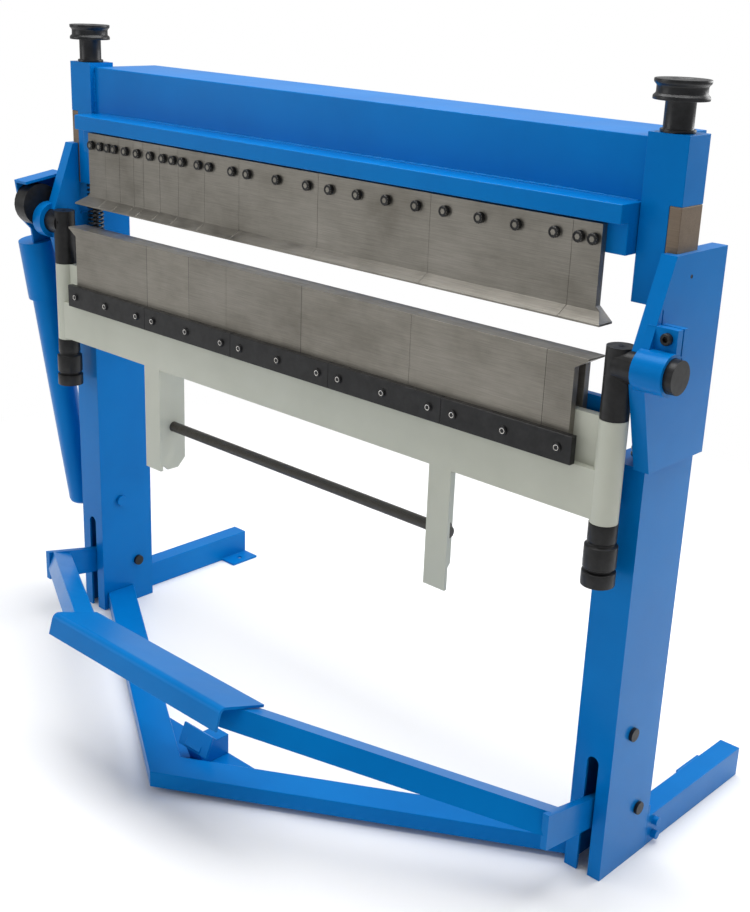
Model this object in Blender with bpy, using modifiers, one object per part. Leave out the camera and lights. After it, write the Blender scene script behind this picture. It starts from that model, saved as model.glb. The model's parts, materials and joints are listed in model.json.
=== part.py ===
"""Foot operated box and pan folding machine, free standing, modelled in metres with +Z up."""

import math

import bmesh
import bpy
from mathutils import Matrix, Vector

# Fits
FIT = 0.0003
RUNNING = 0.0005
OVERRUN = 0.020
FINE_FACES = 24
ROUND_FACES = 16
SMALL_FACES = 10
HEX_FACES = 6
SCREW_FACES = 12
FLAT_ANGLE = 0.001
SIDES = ((-1, "left"), (1, "right"))

# Working space
WORKING_LENGTH = 1.220
BED_HEIGHT = 0.882
OPENING = 0.0444
END_ROOM = 0.028

# Columns
COLUMN_WIDTH = 0.070
COLUMN_DEPTH = 0.136
COLUMN_DROP = 0.162
COLUMN_WALL = 0.005
COLUMN_FRONT = 0.021
SLOT_WIDTH = 0.022
SLOT_HEIGHT = 0.220
PEDAL_PIVOT_Y = 0.1165
PEDAL_PIVOT_Z = 0.098
PIVOT_RADIUS = 0.008
HEAD_RADIUS = 0.0115
HEAD_HEIGHT = 0.006
ANCHOR_Y = 0.073
ANCHOR_Z = 0.256

# Rear feet
FOOT_WIDTH = 0.040
FOOT_HEIGHT = 0.0576
FOOT_WALL = 0.003
FOOT_REACH = 0.316
FOOT_FLANGE_THICKNESS = 0.006
FOOT_FLANGE_HEIGHT = 0.080
FOOT_TAB_LENGTH = 0.077
FOOT_TAB_WIDTH = 0.043
FOOT_TAB_THICKNESS = 0.005
FOOT_TAB_HOLE_RADIUS = 0.006
FOOT_BOLT_RADIUS = 0.008
FOOT_BOLT_HEIGHT = 0.010
FOOT_BOLT_Y = 0.022
FOOT_BOLT_SHARES = (0.28, 0.74)

# Front stretcher, a flat V of flat tube
STRETCHER_WIDTH = 0.060
STRETCHER_HEIGHT = 0.031
STRETCHER_WALL = 0.003
STRETCHER_BASE_Z = 0.010
STRETCHER_END_Y = 0.067
STRETCHER_TIP_Y = -0.313
GUSSET_REACH = 0.165
GUSSET_THICKNESS = 0.006

# Pedal stop on the stretcher, an upright with a tilted plate
STOP_WIDTH = 0.040
STOP_REAR_Y = -0.181
STOP_FRONT_Y = -0.240
STOP_WALL = 0.004
STOP_TOP_Z = 0.056
STOP_PLATE_WIDTH = 0.078
STOP_PLATE_THICKNESS = 0.005
STOP_PLATE_TOP_Y = -0.236
STOP_PLATE_TOP_Z = 0.080
STOP_PLATE_FOOT_Y = -0.252
STOP_PLATE_FOOT_Z = 0.042
STOP_BOLT_RADIUS = 0.006
STOP_BOLT_HEIGHT = 0.008

# Side plates
PLATE_THICKNESS = 0.026
PLATE_SEAT = 0.013
PLATE_TOP_RISE = 0.155
PLATE_TOP_FRONT_Y = 0.022
PLATE_REAR_Y = 0.160
PLATE_BOTTOM_FRONT_Y = 0.010
PLATE_NOSE_Y = -0.034
PLATE_NOSE_TOP_RISE = 0.012
PLATE_NOSE_BOTTOM_DROP = 0.004
HINGE_Y = -0.021
HINGE_RISE = 0.0005
PIN_RADIUS = 0.025
RIGHT_BOSS_RADIUS = 0.031
LEFT_BOSS_RADIUS = 0.036
RIGHT_BOSS_REACH = 0.037
LEFT_BOSS_REACH = 0.013
PIN_PROUD = 0.013
LUG_BACK = 0.006
LUG_WIDTH = 0.026
LUG_ROOT = 0.004
LUG_TOP_RISE = 0.063
LUG_SLIT = 0.003
STUD_RADIUS = 0.005
STUD_REACH = 0.022
STUD_DROP = 0.003
GROOVE_BOTTOM_RISE = 0.011
GROOVE_DEPTH = 0.017

# Bed
BED_PLATE_FRONT = 0.003
BED_PLATE_TOP_DROP = 0.0855
BED_PLATE_BOTTOM_DROP = 0.231
BED_PLATE_NOTCH_DROP = 0.194
BED_PLATE_LAP = 0.027
BED_EAR_WIDTH = 0.041
BED_STRIP_HEIGHT = 0.022
BED_STRIP_DEPTH = 0.013
BED_STRIP_OVERHANG = 0.033
BLADE_THICKNESS = 0.012
BED_BLADE_REAR = 0.002
BED_BLADE_DROP = 0.140
BLADE_EDGE = 0.003
BED_BEVEL_DROP = 0.016
BED_DIVISION_SHARES = (0.3656, 0.7402)
HORN = 0.023

# Clamp beam
BEAM_FRONT = 0.045
BEAM_REAR = 0.197
BEAM_BOTTOM_RISE = 0.164
BEAM_TOP_RISE = 0.308
BEAM_WALL = 0.006
BOX_WIDTH = 0.0462
BOX_FRONT = 0.035
BOX_REAR = 0.091
BOX_BOTTOM_RISE = 0.076
BOX_TOP_RISE = 0.3155
BOX_WALL = 0.005
STRIP_TOP_RISE = 0.219
BEAM_MARGIN = 0.007
HOLDER_LIP_FRONT = -0.008
HOLDER_LIP_BOTTOM_RISE = 0.190
HOLDER_LIP_TOP_RISE = 0.218
HOLDER_BOTTOM_RISE = 0.144
HOLDER_OVERHANG = 0.0335
UPPER_TOP_RISE = 0.186
UPPER_NOSE_RISE = 0.013
UPPER_NOSE_REACH = 0.021
UPPER_SCREW_RISE = 0.163
UPPER_SCREW_RADIUS = 0.0085
UPPER_SCREW_HEIGHT = 0.007
UPPER_WIDTHS = (0.055, 0.045, 0.045, 0.030, 0.050, 0.055, 0.075, 0.095, 0.200, 0.250, 0.270, 0.050)
UPPER_SCREWS = (2, 2, 1, 1, 1, 2, 2, 2, 3, 4, 4, 2)
UPPER_SCREW_SIDE_SHARE = 0.08
PIECE_GAP = 0.0003

# Clamp rods, springs and knobs
ROD_SET_OUT = 0.004
ROD_Y = 0.060
ROD_RADIUS = 0.006
ROD_BOTTOM_Z = 0.168
ROD_IN_KNOB = 0.038
ROD_ROOM = 0.0007
SPRING_RADIUS = 0.0147
SPRING_WIRE = 0.005
SPRING_CURLS = 27
SPRING_POINTS = 8
KNOB_WASHER_RADIUS = 0.025
KNOB_WASHER_HEIGHT = 0.0045
KNOB_NECK_RADIUS = 0.0213
KNOB_NECK_HEIGHT = 0.0385
KNOB_FLANGE_RADIUS = 0.0393
KNOB_FLANGE_HEIGHT = 0.005
KNOB_GROOVE_RADIUS = 0.0353
KNOB_GROOVE_HEIGHT = 0.018
KNOB_GROOVE_SLOPE = 0.004

# Bending beam
BEND_BLADE_FRONT = -0.039
BEND_BLADE_TOP_RISE = 0.0003
BEND_BLADE_DROP = 0.160
BEND_NOSE_REAR = -0.0213
BEND_BEVEL_DROP = 0.017
BEND_DIVISION_SHARES = (0.3770, 0.7418)
BAR_OVERHANG = 0.015
BAR_COUNT = 5
BAR_HEIGHT = 0.044
BAR_THICKNESS = 0.012
BAR_SCREW_SHARE = 0.4
BAR_SCREW_RADIUS = 0.007
BAR_SCREW_HEIGHT = 0.003
PANEL_BOTTOM_DROP = 0.237
PANEL_TOP_DROP = 0.082
PANEL_REAR = -0.012
POST_RADIUS = 0.0215
POST_TOP_RISE = 0.026
POST_SHOULDER_DROP = 0.082
SPINDLE_RADIUS = 0.012
SPINDLE_DROP = 0.330
TUBE_DROP = 0.242
NUT_DROP = 0.342
NUT_RADIUS = 0.022
NUT_COLLAR_RADIUS = 0.025
NUT_FLANGE_RADIUS = 0.026
NUT_NECK_RADIUS = 0.020
NUT_NECK_SHARES = (0.30, 0.34, 0.72, 0.78)
BRACKET_X = 0.371
BRACKET_WIDTH = 0.046
BRACKET_DEPTH = 0.062
BRACKET_THICKNESS = 0.006
BRACKET_DROP = 0.448
BRACKET_CHAMFER = 0.018
CROWN_ROD_Y = -0.005
CROWN_ROD_DROP = 0.360
CROWN_ROD_RADIUS = 0.010
CROWN_NUT_RADIUS = 0.016
CROWN_NUT_HEIGHT = 0.013
CROWN_ROD_END = 0.006

# Pedal
PEDAL_PLATE_THICKNESS = 0.012
PEDAL_PLATE_FRONT_Y = -0.100
PEDAL_PLATE_FRONT_TOP_Z = 0.170
PEDAL_PLATE_FRONT_BOTTOM_Z = 0.106
PEDAL_EYE_RADIUS = 0.026
PEDAL_TUBE = 0.040
PEDAL_WALL = 0.003
PEDAL_END_Y = -0.062
PEDAL_MIDDLE_BACK = 0.050
PEDAL_MIDDLE_HALF = 0.188
PEDAL_TILT = 0.03
PEDAL_VENT_RADIUS = 0.003
TREAD_HALF_LENGTH = 0.230
TREAD_THICKNESS = 0.005
TREAD_LIP_Y = -0.392
TREAD_LIP_Z = 0.242
TREAD_BEND_Y = -0.380
TREAD_BEND_Z = 0.282
TREAD_REAR_Y = -0.286
TREAD_REAR_Z = 0.250
TREAD_BEND_RADIUS = 0.012
BEND_POINTS = 5
TAB_WIDTH = 0.048
TAB_THICKNESS = 0.010
TAB_BACK = 0.004
TAB_BOTTOM_Z = 0.226

# Balancer on the left side
BALANCER_SET_OUT = 0.069
CRANK_RADIUS = 0.043
CRANK_OFFSET = 0.0311
CRANK_FORWARD = 0.232
CRANK_THICKNESS = 0.035
STRAP_THICKNESS = 0.0055
STRAP_CLEARANCE = 0.0054
STRAP_BOLT_RADIUS = 0.012
STRAP_BOLT_HEIGHT = 0.008
STRAP_ARM_WIDTH = 0.046
SLEEVE_RADIUS = 0.038
SLEEVE_TOP_DROP = 0.0535
SLEEVE_HEIGHT = 0.126
BALANCER_RADIUS = 0.0305
BALANCER_WALL = 0.003
BALANCER_TOP_DROP = 0.0875
BALANCER_TAIL = 0.050
DOME_POINTS = 5
DOME_SHARE = 0.5
ANCHOR_RADIUS = 0.0062
STRAP_BACK_GAP = 0.011
STRAP_FRONT_SHARE = 0.77
STRAP_TOE_SHARE = 0.5

# Heights worked out from the bed's height
COLUMN_HEIGHT = BED_HEIGHT - COLUMN_DROP
PLATE_TOP_Z = BED_HEIGHT + PLATE_TOP_RISE
PLATE_NOSE_TOP_Z = BED_HEIGHT + PLATE_NOSE_TOP_RISE
PLATE_NOSE_BOTTOM_Z = BED_HEIGHT - PLATE_NOSE_BOTTOM_DROP
HINGE_Z = BED_HEIGHT + HINGE_RISE
LUG_TOP_Z = BED_HEIGHT + LUG_TOP_RISE
BED_PLATE_TOP_Z = BED_HEIGHT - BED_PLATE_TOP_DROP
BED_PLATE_BOTTOM_Z = BED_HEIGHT - BED_PLATE_BOTTOM_DROP
BED_PLATE_NOTCH_Z = BED_HEIGHT - BED_PLATE_NOTCH_DROP
BED_BLADE_BOTTOM_Z = BED_HEIGHT - BED_BLADE_DROP
BEAM_BOTTOM_Z = BED_HEIGHT + BEAM_BOTTOM_RISE
BEAM_TOP_Z = BED_HEIGHT + BEAM_TOP_RISE
BOX_BOTTOM_Z = BED_HEIGHT + BOX_BOTTOM_RISE
BOX_TOP_Z = BED_HEIGHT + BOX_TOP_RISE
STRIP_TOP_Z = BED_HEIGHT + STRIP_TOP_RISE
HOLDER_LIP_BOTTOM_Z = BED_HEIGHT + HOLDER_LIP_BOTTOM_RISE
HOLDER_LIP_TOP_Z = BED_HEIGHT + HOLDER_LIP_TOP_RISE
HOLDER_BOTTOM_Z = BED_HEIGHT + HOLDER_BOTTOM_RISE
UPPER_TOP_Z = BED_HEIGHT + UPPER_TOP_RISE
UPPER_SCREW_Z = BED_HEIGHT + UPPER_SCREW_RISE
BEND_BLADE_TOP_Z = BED_HEIGHT + BEND_BLADE_TOP_RISE
BEND_BLADE_BOTTOM_Z = BED_HEIGHT - BEND_BLADE_DROP
PANEL_BOTTOM_Z = BED_HEIGHT - PANEL_BOTTOM_DROP
PANEL_TOP_Z = BED_HEIGHT - PANEL_TOP_DROP
POST_TOP_Z = BED_HEIGHT + POST_TOP_RISE
POST_SHOULDER_Z = BED_HEIGHT - POST_SHOULDER_DROP
SPINDLE_BOTTOM_Z = BED_HEIGHT - SPINDLE_DROP
TUBE_BOTTOM_Z = BED_HEIGHT - TUBE_DROP
NUT_BOTTOM_Z = BED_HEIGHT - NUT_DROP
BRACKET_BOTTOM_Z = BED_HEIGHT - BRACKET_DROP
CROWN_ROD_Z = BED_HEIGHT - CROWN_ROD_DROP

# Values worked out from the sizes above
HALF = WORKING_LENGTH / 2
COLUMN_INNER = HALF + END_ROOM
COLUMN_OUTER = COLUMN_INNER + COLUMN_WIDTH
LINE_X = COLUMN_INNER + COLUMN_WIDTH / 2
ROD_X = LINE_X + ROD_SET_OUT
COLUMN_REAR = COLUMN_FRONT + COLUMN_DEPTH
PLATE_INNER = COLUMN_OUTER - PLATE_SEAT
PLATE_OUTER = PLATE_INNER + PLATE_THICKNESS
BEAM_HALF = COLUMN_INNER + BEAM_MARGIN
BOX_INNER = BEAM_HALF + FIT
BOX_OUTER = BOX_INNER + BOX_WIDTH
LAYER_OUTER = PLATE_INNER + GROOVE_DEPTH - RUNNING
GROOVE_BOTTOM_Z = BED_HEIGHT + GROOVE_BOTTOM_RISE
BAR_LENGTH = (WORKING_LENGTH + 2 * BAR_OVERHANG) / BAR_COUNT
CRANK_INNER = PLATE_OUTER + LEFT_BOSS_REACH + RUNNING
CRANK_OUTER = CRANK_INNER + CRANK_THICKNESS
PIN_END = PLATE_OUTER + RIGHT_BOSS_REACH + PIN_PROUD
TREAD_SLOPE = math.atan2(TREAD_BEND_Z - TREAD_REAR_Z, TREAD_REAR_Y - TREAD_BEND_Y)
PEDAL_SLOPE = TREAD_SLOPE + PEDAL_TILT
BALANCER_X = PLATE_OUTER + BALANCER_SET_OUT
BALANCER_LEAN = math.atan2(ANCHOR_Y - HINGE_Y, HINGE_Z - ANCHOR_Z)
BALANCER_REACH = math.hypot(ANCHOR_Y - HINGE_Y, HINGE_Z - ANCHOR_Z)
SLEEVE_TOP = BALANCER_REACH - SLEEVE_TOP_DROP
SLEEVE_BOTTOM = SLEEVE_TOP - SLEEVE_HEIGHT
BALANCER_TOP = BALANCER_REACH - BALANCER_TOP_DROP
CRANK_ACROSS = -CRANK_OFFSET * math.sin(CRANK_FORWARD)
CRANK_UP = CRANK_OFFSET * math.cos(CRANK_FORWARD)

# Where the middle of the outer box lies, so that the origin is under it on the floor
LOW_X = -(BALANCER_X + SLEEVE_RADIUS)
HIGH_X = PIN_END
LOW_Y = TREAD_LIP_Y
HIGH_Y = COLUMN_REAR + FOOT_REACH
DATUM = Vector((-(LOW_X + HIGH_X) / 2, -(LOW_Y + HIGH_Y) / 2, 0))

BLUE = (0.0, 0.19, 0.62, 1.0)
CREAM = (0.62, 0.66, 0.58, 1.0)
STEEL = (0.42, 0.39, 0.35, 1.0)
DARK_STEEL = (0.20, 0.15, 0.11, 1.0)
BLACK = (0.012, 0.012, 0.013, 1.0)


def clear_scene():
    for item in list(bpy.data.objects):
        bpy.data.objects.remove(item, do_unlink=True)


def new_collection(name):
    collection = bpy.data.collections.new(name)
    bpy.context.scene.collection.children.link(collection)
    return collection


def paint(item, colour, roughness, metallic):
    material = bpy.data.materials.new(item.name)
    material.use_nodes = True
    shader = material.node_tree.nodes["Principled BSDF"]
    shader.inputs["Base Color"].default_value = colour
    shader.inputs["Roughness"].default_value = roughness
    shader.inputs["Metallic"].default_value = metallic
    item.data.materials.clear()
    item.data.materials.append(material)


def enamel(item):
    paint(item, BLUE, 0.35, 0.0)


def light_enamel(item):
    paint(item, CREAM, 0.45, 0.0)


def ground_steel(item):
    paint(item, STEEL, 0.38, 1.0)


def worn_steel(item):
    paint(item, DARK_STEEL, 0.5, 1.0)


def blackened(item):
    paint(item, BLACK, 0.42, 0.3)


def carrier(name, place, parent=None, rotation=(0, 0, 0)):
    """An empty on the axis of a moving piece; place is in the machine's own coordinates."""
    empty = bpy.data.objects.new(name, None)
    parts.objects.link(empty)
    empty.rotation_euler = rotation
    empty["place"] = tuple(place)
    empty.location = place
    if parent is not None:
        empty.parent = parent
        empty.location = Vector(place) - Vector(parent["place"])
    return empty


def attach(item, parent):
    """Hangs an object, placed in the machine's own coordinates, on an empty."""
    item.parent = parent
    item.location = item.location - Vector(parent["place"])
    return item


def settle(name, mesh, place, parent, collection):
    item = bpy.data.objects.new(name, mesh)
    item.location = place
    collection.objects.link(item)
    if parent is not None:
        attach(item, parent)
    if collection is cutters:
        item.hide_render = True
        item.display_type = "WIRE"
    return item


def block(name, low, high, parent, collection=None):
    """A box between two corners."""
    low = Vector(low)
    high = Vector(high)
    mesh = bpy.data.meshes.new(name)
    work = bmesh.new()
    bmesh.ops.create_cube(work, size=1)
    bmesh.ops.scale(work, vec=high - low, verts=work.verts)
    work.to_mesh(mesh)
    work.free()
    return settle(name, mesh, (low + high) / 2, parent, collection or parts)


def turn_to(direction):
    """Rotation that carries +Z to a direction."""
    return Vector((0, 0, 1)).rotation_difference(Vector(direction)).to_matrix().to_4x4()


def rod(name, start, end, radius, faces, parent, collection=None, far_radius=None):
    """A cylinder, or a cone, between two points on its axis."""
    start = Vector(start)
    end = Vector(end)
    mesh = bpy.data.meshes.new(name)
    work = bmesh.new()
    bmesh.ops.create_cone(
        work,
        cap_ends=True,
        segments=faces,
        radius1=radius,
        radius2=radius if far_radius is None else far_radius,
        depth=(end - start).length,
        matrix=turn_to(end - start),
    )
    work.to_mesh(mesh)
    work.free()
    mesh.shade_smooth()
    mesh.set_sharp_from_angle(angle=math.radians(40))
    return settle(name, mesh, (start + end) / 2, parent, collection or parts)


def turned(name, profile, place, faces, parent, collection=None):
    """A profile of radius and height, run down its outer side, turned about the vertical."""
    mesh = bpy.data.meshes.new(name)
    edges = [(i, i + 1) for i in range(len(profile) - 1)]
    if profile[0][0] > 0:
        edges.append((len(profile) - 1, 0))
    mesh.from_pydata([(radius, 0, height) for radius, height in profile], edges, [])
    item = settle(name, mesh, place, parent, collection or parts)
    screw = item.modifiers.new("Turned", "SCREW")
    screw.axis = "Z"
    screw.steps = faces
    screw.render_steps = faces
    screw.use_merge_vertices = True
    screw.merge_threshold = 0.00005
    screw.use_smooth_shade = False
    return item


def evaluated_mesh(item, name):
    """The mesh of a curve or of an object with modifiers, welded and facing out."""
    bpy.context.view_layer.update()
    graph = bpy.context.evaluated_depsgraph_get()
    mesh = bpy.data.meshes.new_from_object(item.evaluated_get(graph), depsgraph=graph)
    mesh.name = name
    work = bmesh.new()
    work.from_mesh(mesh)
    bmesh.ops.remove_doubles(work, verts=work.verts, dist=0.00002)
    bmesh.ops.dissolve_limit(work, angle_limit=FLAT_ANGLE, verts=work.verts, edges=work.edges)
    bmesh.ops.recalc_face_normals(work, faces=work.faces)
    work.to_mesh(mesh)
    work.free()
    return mesh


FACING = {
    "X": Matrix(((0, 0, 1), (1, 0, 0), (0, 1, 0))),
    "Y": Matrix(((1, 0, 0), (0, 0, -1), (0, 1, 0))),
    "Z": Matrix(((1, 0, 0), (0, 1, 0), (0, 0, 1))),
}


def plate(name, outline, low, high, facing, parent, collection=None):
    """A flat outline, extruded from low to high along the axis that it faces."""
    curve = bpy.data.curves.new(name, "CURVE")
    curve.dimensions = "2D"
    curve.fill_mode = "BOTH"
    curve.extrude = (high - low) / 2
    line = curve.splines.new("POLY")
    line.points.add(len(outline) - 1)
    for point, (across, up) in zip(line.points, outline):
        point.co = (across, up, 0, 1)
    line.use_cyclic_u = True
    guide = bpy.data.objects.new(name + "_outline", curve)
    cutters.objects.link(guide)
    mesh = evaluated_mesh(guide, name)
    bpy.data.objects.remove(guide, do_unlink=True)
    mesh.transform(FACING[facing].to_4x4())
    place = {"X": (1, 0, 0), "Y": (0, 1, 0), "Z": (0, 0, 1)}[facing]
    return settle(name, mesh, Vector(place) * (low + high) / 2, parent, collection or parts)


def join_solids(item, tools, operation, solver="EXACT"):
    for tool in tools:
        step = item.modifiers.new(tool.name, "BOOLEAN")
        step.operation = operation
        step.solver = solver
        step.object = tool
    return item


def cut(item, *tools):
    return join_solids(item, tools, "DIFFERENCE")


def fuse(item, *tools):
    return join_solids(item, tools, "UNION")


def circle_points(centre, radius, start_deg, end_deg, count):
    """Points of an arc in a plane, from one angle to another."""
    steps = [math.radians(start_deg + (end_deg - start_deg) * i / (count - 1)) for i in range(count)]
    return [(centre[0] + radius * math.cos(a), centre[1] + radius * math.sin(a)) for a in steps]


def column(side, word):
    """Box column with a closed top, an open foot and a slot for the pedal plate."""
    x = side * LINE_X
    half = COLUMN_WIDTH / 2
    item = block(
        word + "_column",
        (x - half, COLUMN_FRONT, 0),
        (x + half, COLUMN_REAR, COLUMN_HEIGHT),
        machine,
    )
    inner = half - COLUMN_WALL
    hollow = block(
        word + "_column_hollow",
        (x - inner, COLUMN_FRONT + COLUMN_WALL, -OVERRUN),
        (x + inner, COLUMN_REAR - COLUMN_WALL, COLUMN_HEIGHT - COLUMN_WALL),
        machine,
        cutters,
    )
    reach = SLOT_WIDTH / 2
    arch = circle_points((x, SLOT_HEIGHT - reach), reach, 0, 180, SMALL_FACES)
    slot = plate(
        word + "_column_slot",
        [(x - reach, -OVERRUN), (x + reach, -OVERRUN)] + arch,
        COLUMN_FRONT - OVERRUN,
        COLUMN_FRONT + COLUMN_WALL + FIT,
        "Y",
        machine,
        cutters,
    )
    rod_hole = rod(
        word + "_column_rod_hole",
        (side * ROD_X, ROD_Y, COLUMN_HEIGHT - COLUMN_WALL - OVERRUN),
        (side * ROD_X, ROD_Y, COLUMN_HEIGHT + OVERRUN),
        ROD_RADIUS + ROD_ROOM,
        ROUND_FACES,
        machine,
        cutters,
    )
    pivot_hole = rod(
        word + "_column_pivot_hole",
        (x - half - OVERRUN, PEDAL_PIVOT_Y, PEDAL_PIVOT_Z),
        (x + half + OVERRUN, PEDAL_PIVOT_Y, PEDAL_PIVOT_Z),
        PIVOT_RADIUS + FIT,
        ROUND_FACES,
        machine,
        cutters,
    )
    anchor_hole = rod(
        word + "_column_anchor_hole",
        (x - half - OVERRUN, ANCHOR_Y, ANCHOR_Z),
        (x + half + OVERRUN, ANCHOR_Y, ANCHOR_Z),
        ANCHOR_RADIUS + FIT,
        ROUND_FACES,
        machine,
        cutters,
    )
    cut(item, hollow, slot, rod_hole, pivot_hole, anchor_hole)
    enamel(item)


def cross_bolt(name, side, y, z, radius):
    """Pin through both walls of a column, with a head at each face."""
    x = side * LINE_X
    half = COLUMN_WIDTH / 2
    item = rod(name, (x - half - HEAD_HEIGHT, y, z), (x + half + HEAD_HEIGHT, y, z), radius, ROUND_FACES, machine)
    for end in (-1, 1):
        face = x + end * (half + FIT)
        head = rod(
            name + "_head" + ("_far" if end > 0 else "_near"),
            (face, y, z),
            (face + end * HEAD_HEIGHT, y, z),
            HEAD_RADIUS,
            SMALL_FACES + 2,
            machine,
            cutters,
        )
        fuse(item, head)
    return item


def anchor_pin():
    """Stub through the left column that carries the lower end of the balancer."""
    inner = -(COLUMN_INNER - HEAD_HEIGHT)
    item = rod(
        "balancer_anchor_pin",
        (inner, ANCHOR_Y, ANCHOR_Z),
        (-(BALANCER_X - BALANCER_RADIUS / 2), ANCHOR_Y, ANCHOR_Z),
        ANCHOR_RADIUS,
        ROUND_FACES,
        machine,
    )
    head = rod(
        "balancer_anchor_head",
        (inner, ANCHOR_Y, ANCHOR_Z),
        (-(COLUMN_INNER - FIT), ANCHOR_Y, ANCHOR_Z),
        HEAD_RADIUS,
        SMALL_FACES + 2,
        machine,
        cutters,
    )
    collar = rod(
        "balancer_anchor_collar",
        (-(COLUMN_OUTER + FIT), ANCHOR_Y, ANCHOR_Z),
        (-(BALANCER_X - BALANCER_RADIUS - RUNNING), ANCHOR_Y, ANCHOR_Z),
        HEAD_RADIUS,
        ROUND_FACES,
        machine,
        cutters,
    )
    fuse(item, head, collar)
    enamel(item)


def rear_foot(side, word):
    """Square tube foot with a bolted flange in front and a floor tab at its end."""
    x_in = side * (COLUMN_OUTER - FOOT_WIDTH)
    x_out = side * COLUMN_OUTER
    low_x = min(x_in, x_out)
    high_x = max(x_in, x_out)
    start = COLUMN_REAR + FIT
    end = COLUMN_REAR + FOOT_REACH
    item = block(word + "_rear_foot", (low_x, start, 0), (high_x, end, FOOT_HEIGHT), machine)
    hollow = block(
        word + "_foot_hollow",
        (low_x + FOOT_WALL, start - OVERRUN, FOOT_WALL),
        (high_x - FOOT_WALL, end - FOOT_WALL, FOOT_HEIGHT - FOOT_WALL),
        machine,
        cutters,
    )
    tab_far = x_in - side * FOOT_TAB_WIDTH
    tab = block(
        word + "_foot_tab",
        (min(tab_far, x_in + side * FOOT_WALL / 2), end - FOOT_TAB_LENGTH, 0),
        (max(tab_far, x_in + side * FOOT_WALL / 2), end, FOOT_TAB_THICKNESS),
        machine,
        cutters,
    )
    hole_x = x_in - side * FOOT_TAB_WIDTH / 2
    hole_y = end - FOOT_TAB_LENGTH / 2
    hole = rod(
        word + "_foot_tab_hole",
        (hole_x, hole_y, -OVERRUN),
        (hole_x, hole_y, OVERRUN),
        FOOT_TAB_HOLE_RADIUS,
        ROUND_FACES,
        machine,
        cutters,
    )
    flange = block(
        word + "_foot_flange",
        (low_x, start, 0),
        (high_x, start + FOOT_FLANGE_THICKNESS, FOOT_FLANGE_HEIGHT),
        machine,
        cutters,
    )
    cut(fuse(item, flange, tab), hollow, hole)
    for share in FOOT_BOLT_SHARES:
        bolt = rod(
            word + "_foot_bolt_" + str(FOOT_BOLT_SHARES.index(share) + 1),
            (x_out - side * FOOT_WALL / 2, start + FOOT_BOLT_Y, share * FOOT_HEIGHT),
            (x_out + side * FOOT_BOLT_HEIGHT, start + FOOT_BOLT_Y, share * FOOT_HEIGHT),
            FOOT_BOLT_RADIUS,
            SMALL_FACES,
            machine,
            cutters,
        )
        fuse(item, bolt)
    enamel(item)


def stretcher():
    """Flat V of tube between the columns, with a gusset in its corner."""
    end_x = COLUMN_INNER - FIT
    low = STRETCHER_BASE_Z
    high = STRETCHER_BASE_Z + STRETCHER_HEIGHT
    path = [(-end_x, STRETCHER_END_Y), (0, STRETCHER_TIP_Y), (end_x, STRETCHER_END_Y)]
    item = plate("front_stretcher", bar_outline(path, STRETCHER_WIDTH), low, high, "Z", machine)
    rise = (STRETCHER_END_Y - STRETCHER_TIP_Y) / end_x
    half_up = STRETCHER_WIDTH / 2 * math.hypot(1, rise)
    far_x = end_x + OVERRUN
    far_y = STRETCHER_END_Y + OVERRUN * rise
    inner = bar_outline([(-far_x, far_y), path[1], (far_x, far_y)], STRETCHER_WIDTH - 2 * STRETCHER_WALL)
    hollow = plate(
        "stretcher_hollow",
        inner,
        low + STRETCHER_WALL,
        high - STRETCHER_WALL,
        "Z",
        machine,
        cutters,
    )
    corner = STRETCHER_TIP_Y + half_up - STRETCHER_WALL / 2
    back_y = corner + GUSSET_REACH * rise
    gusset = plate(
        "stretcher_gusset",
        [(0, corner), (GUSSET_REACH, back_y), (-GUSSET_REACH, back_y)],
        low,
        low + GUSSET_THICKNESS,
        "Z",
        machine,
        cutters,
    )
    fuse(cut(item, hollow), gusset)
    enamel(item)


def pedal_stop():
    """Short upright on the gusset with a tilted plate across its front."""
    half = STOP_WIDTH / 2
    base = STRETCHER_BASE_Z + GUSSET_THICKNESS + FIT
    outline = [
        (STOP_REAR_Y, base),
        (STOP_REAR_Y, STOP_TOP_Z),
        ((STOP_PLATE_TOP_Y + STOP_REAR_Y) / 2, STOP_TOP_Z),
        (STOP_PLATE_TOP_Y, STOP_PLATE_TOP_Z - STOP_PLATE_THICKNESS),
        (STOP_PLATE_FOOT_Y, STOP_PLATE_FOOT_Z + STOP_PLATE_THICKNESS),
        (STOP_FRONT_Y, base),
    ]
    item = plate("pedal_stop", outline, -half, half, "X", machine)
    inside = block(
        "pedal_stop_inside",
        (-half + STOP_WALL, STOP_FRONT_Y + 2 * STOP_WALL, base - OVERRUN),
        (half - STOP_WALL, STOP_REAR_Y - STOP_WALL, STOP_TOP_Z - STOP_WALL),
        machine,
        cutters,
    )
    lean = Vector((STOP_PLATE_TOP_Y - STOP_PLATE_FOOT_Y, STOP_PLATE_TOP_Z - STOP_PLATE_FOOT_Z)).normalized()
    back = Vector((lean.y, -lean.x)) * STOP_PLATE_THICKNESS
    face = [
        (STOP_PLATE_FOOT_Y, STOP_PLATE_FOOT_Z),
        (STOP_PLATE_TOP_Y, STOP_PLATE_TOP_Z),
        (STOP_PLATE_TOP_Y + back.x, STOP_PLATE_TOP_Z + back.y),
        (STOP_PLATE_FOOT_Y + back.x, STOP_PLATE_FOOT_Z + back.y),
    ]
    tilted = plate(
        "pedal_stop_face",
        face,
        -STOP_PLATE_WIDTH / 2,
        STOP_PLATE_WIDTH / 2,
        "X",
        machine,
        cutters,
    )
    middle_z = (base + STOP_TOP_Z) / 2
    bolt = rod(
        "pedal_stop_bolt",
        (0, STOP_REAR_Y - STOP_WALL / 2, middle_z),
        (0, STOP_REAR_Y + STOP_BOLT_HEIGHT, middle_z),
        STOP_BOLT_RADIUS,
        SMALL_FACES,
        machine,
        cutters,
    )
    fuse(cut(item, inside), tilted, bolt)
    enamel(item)


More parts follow.
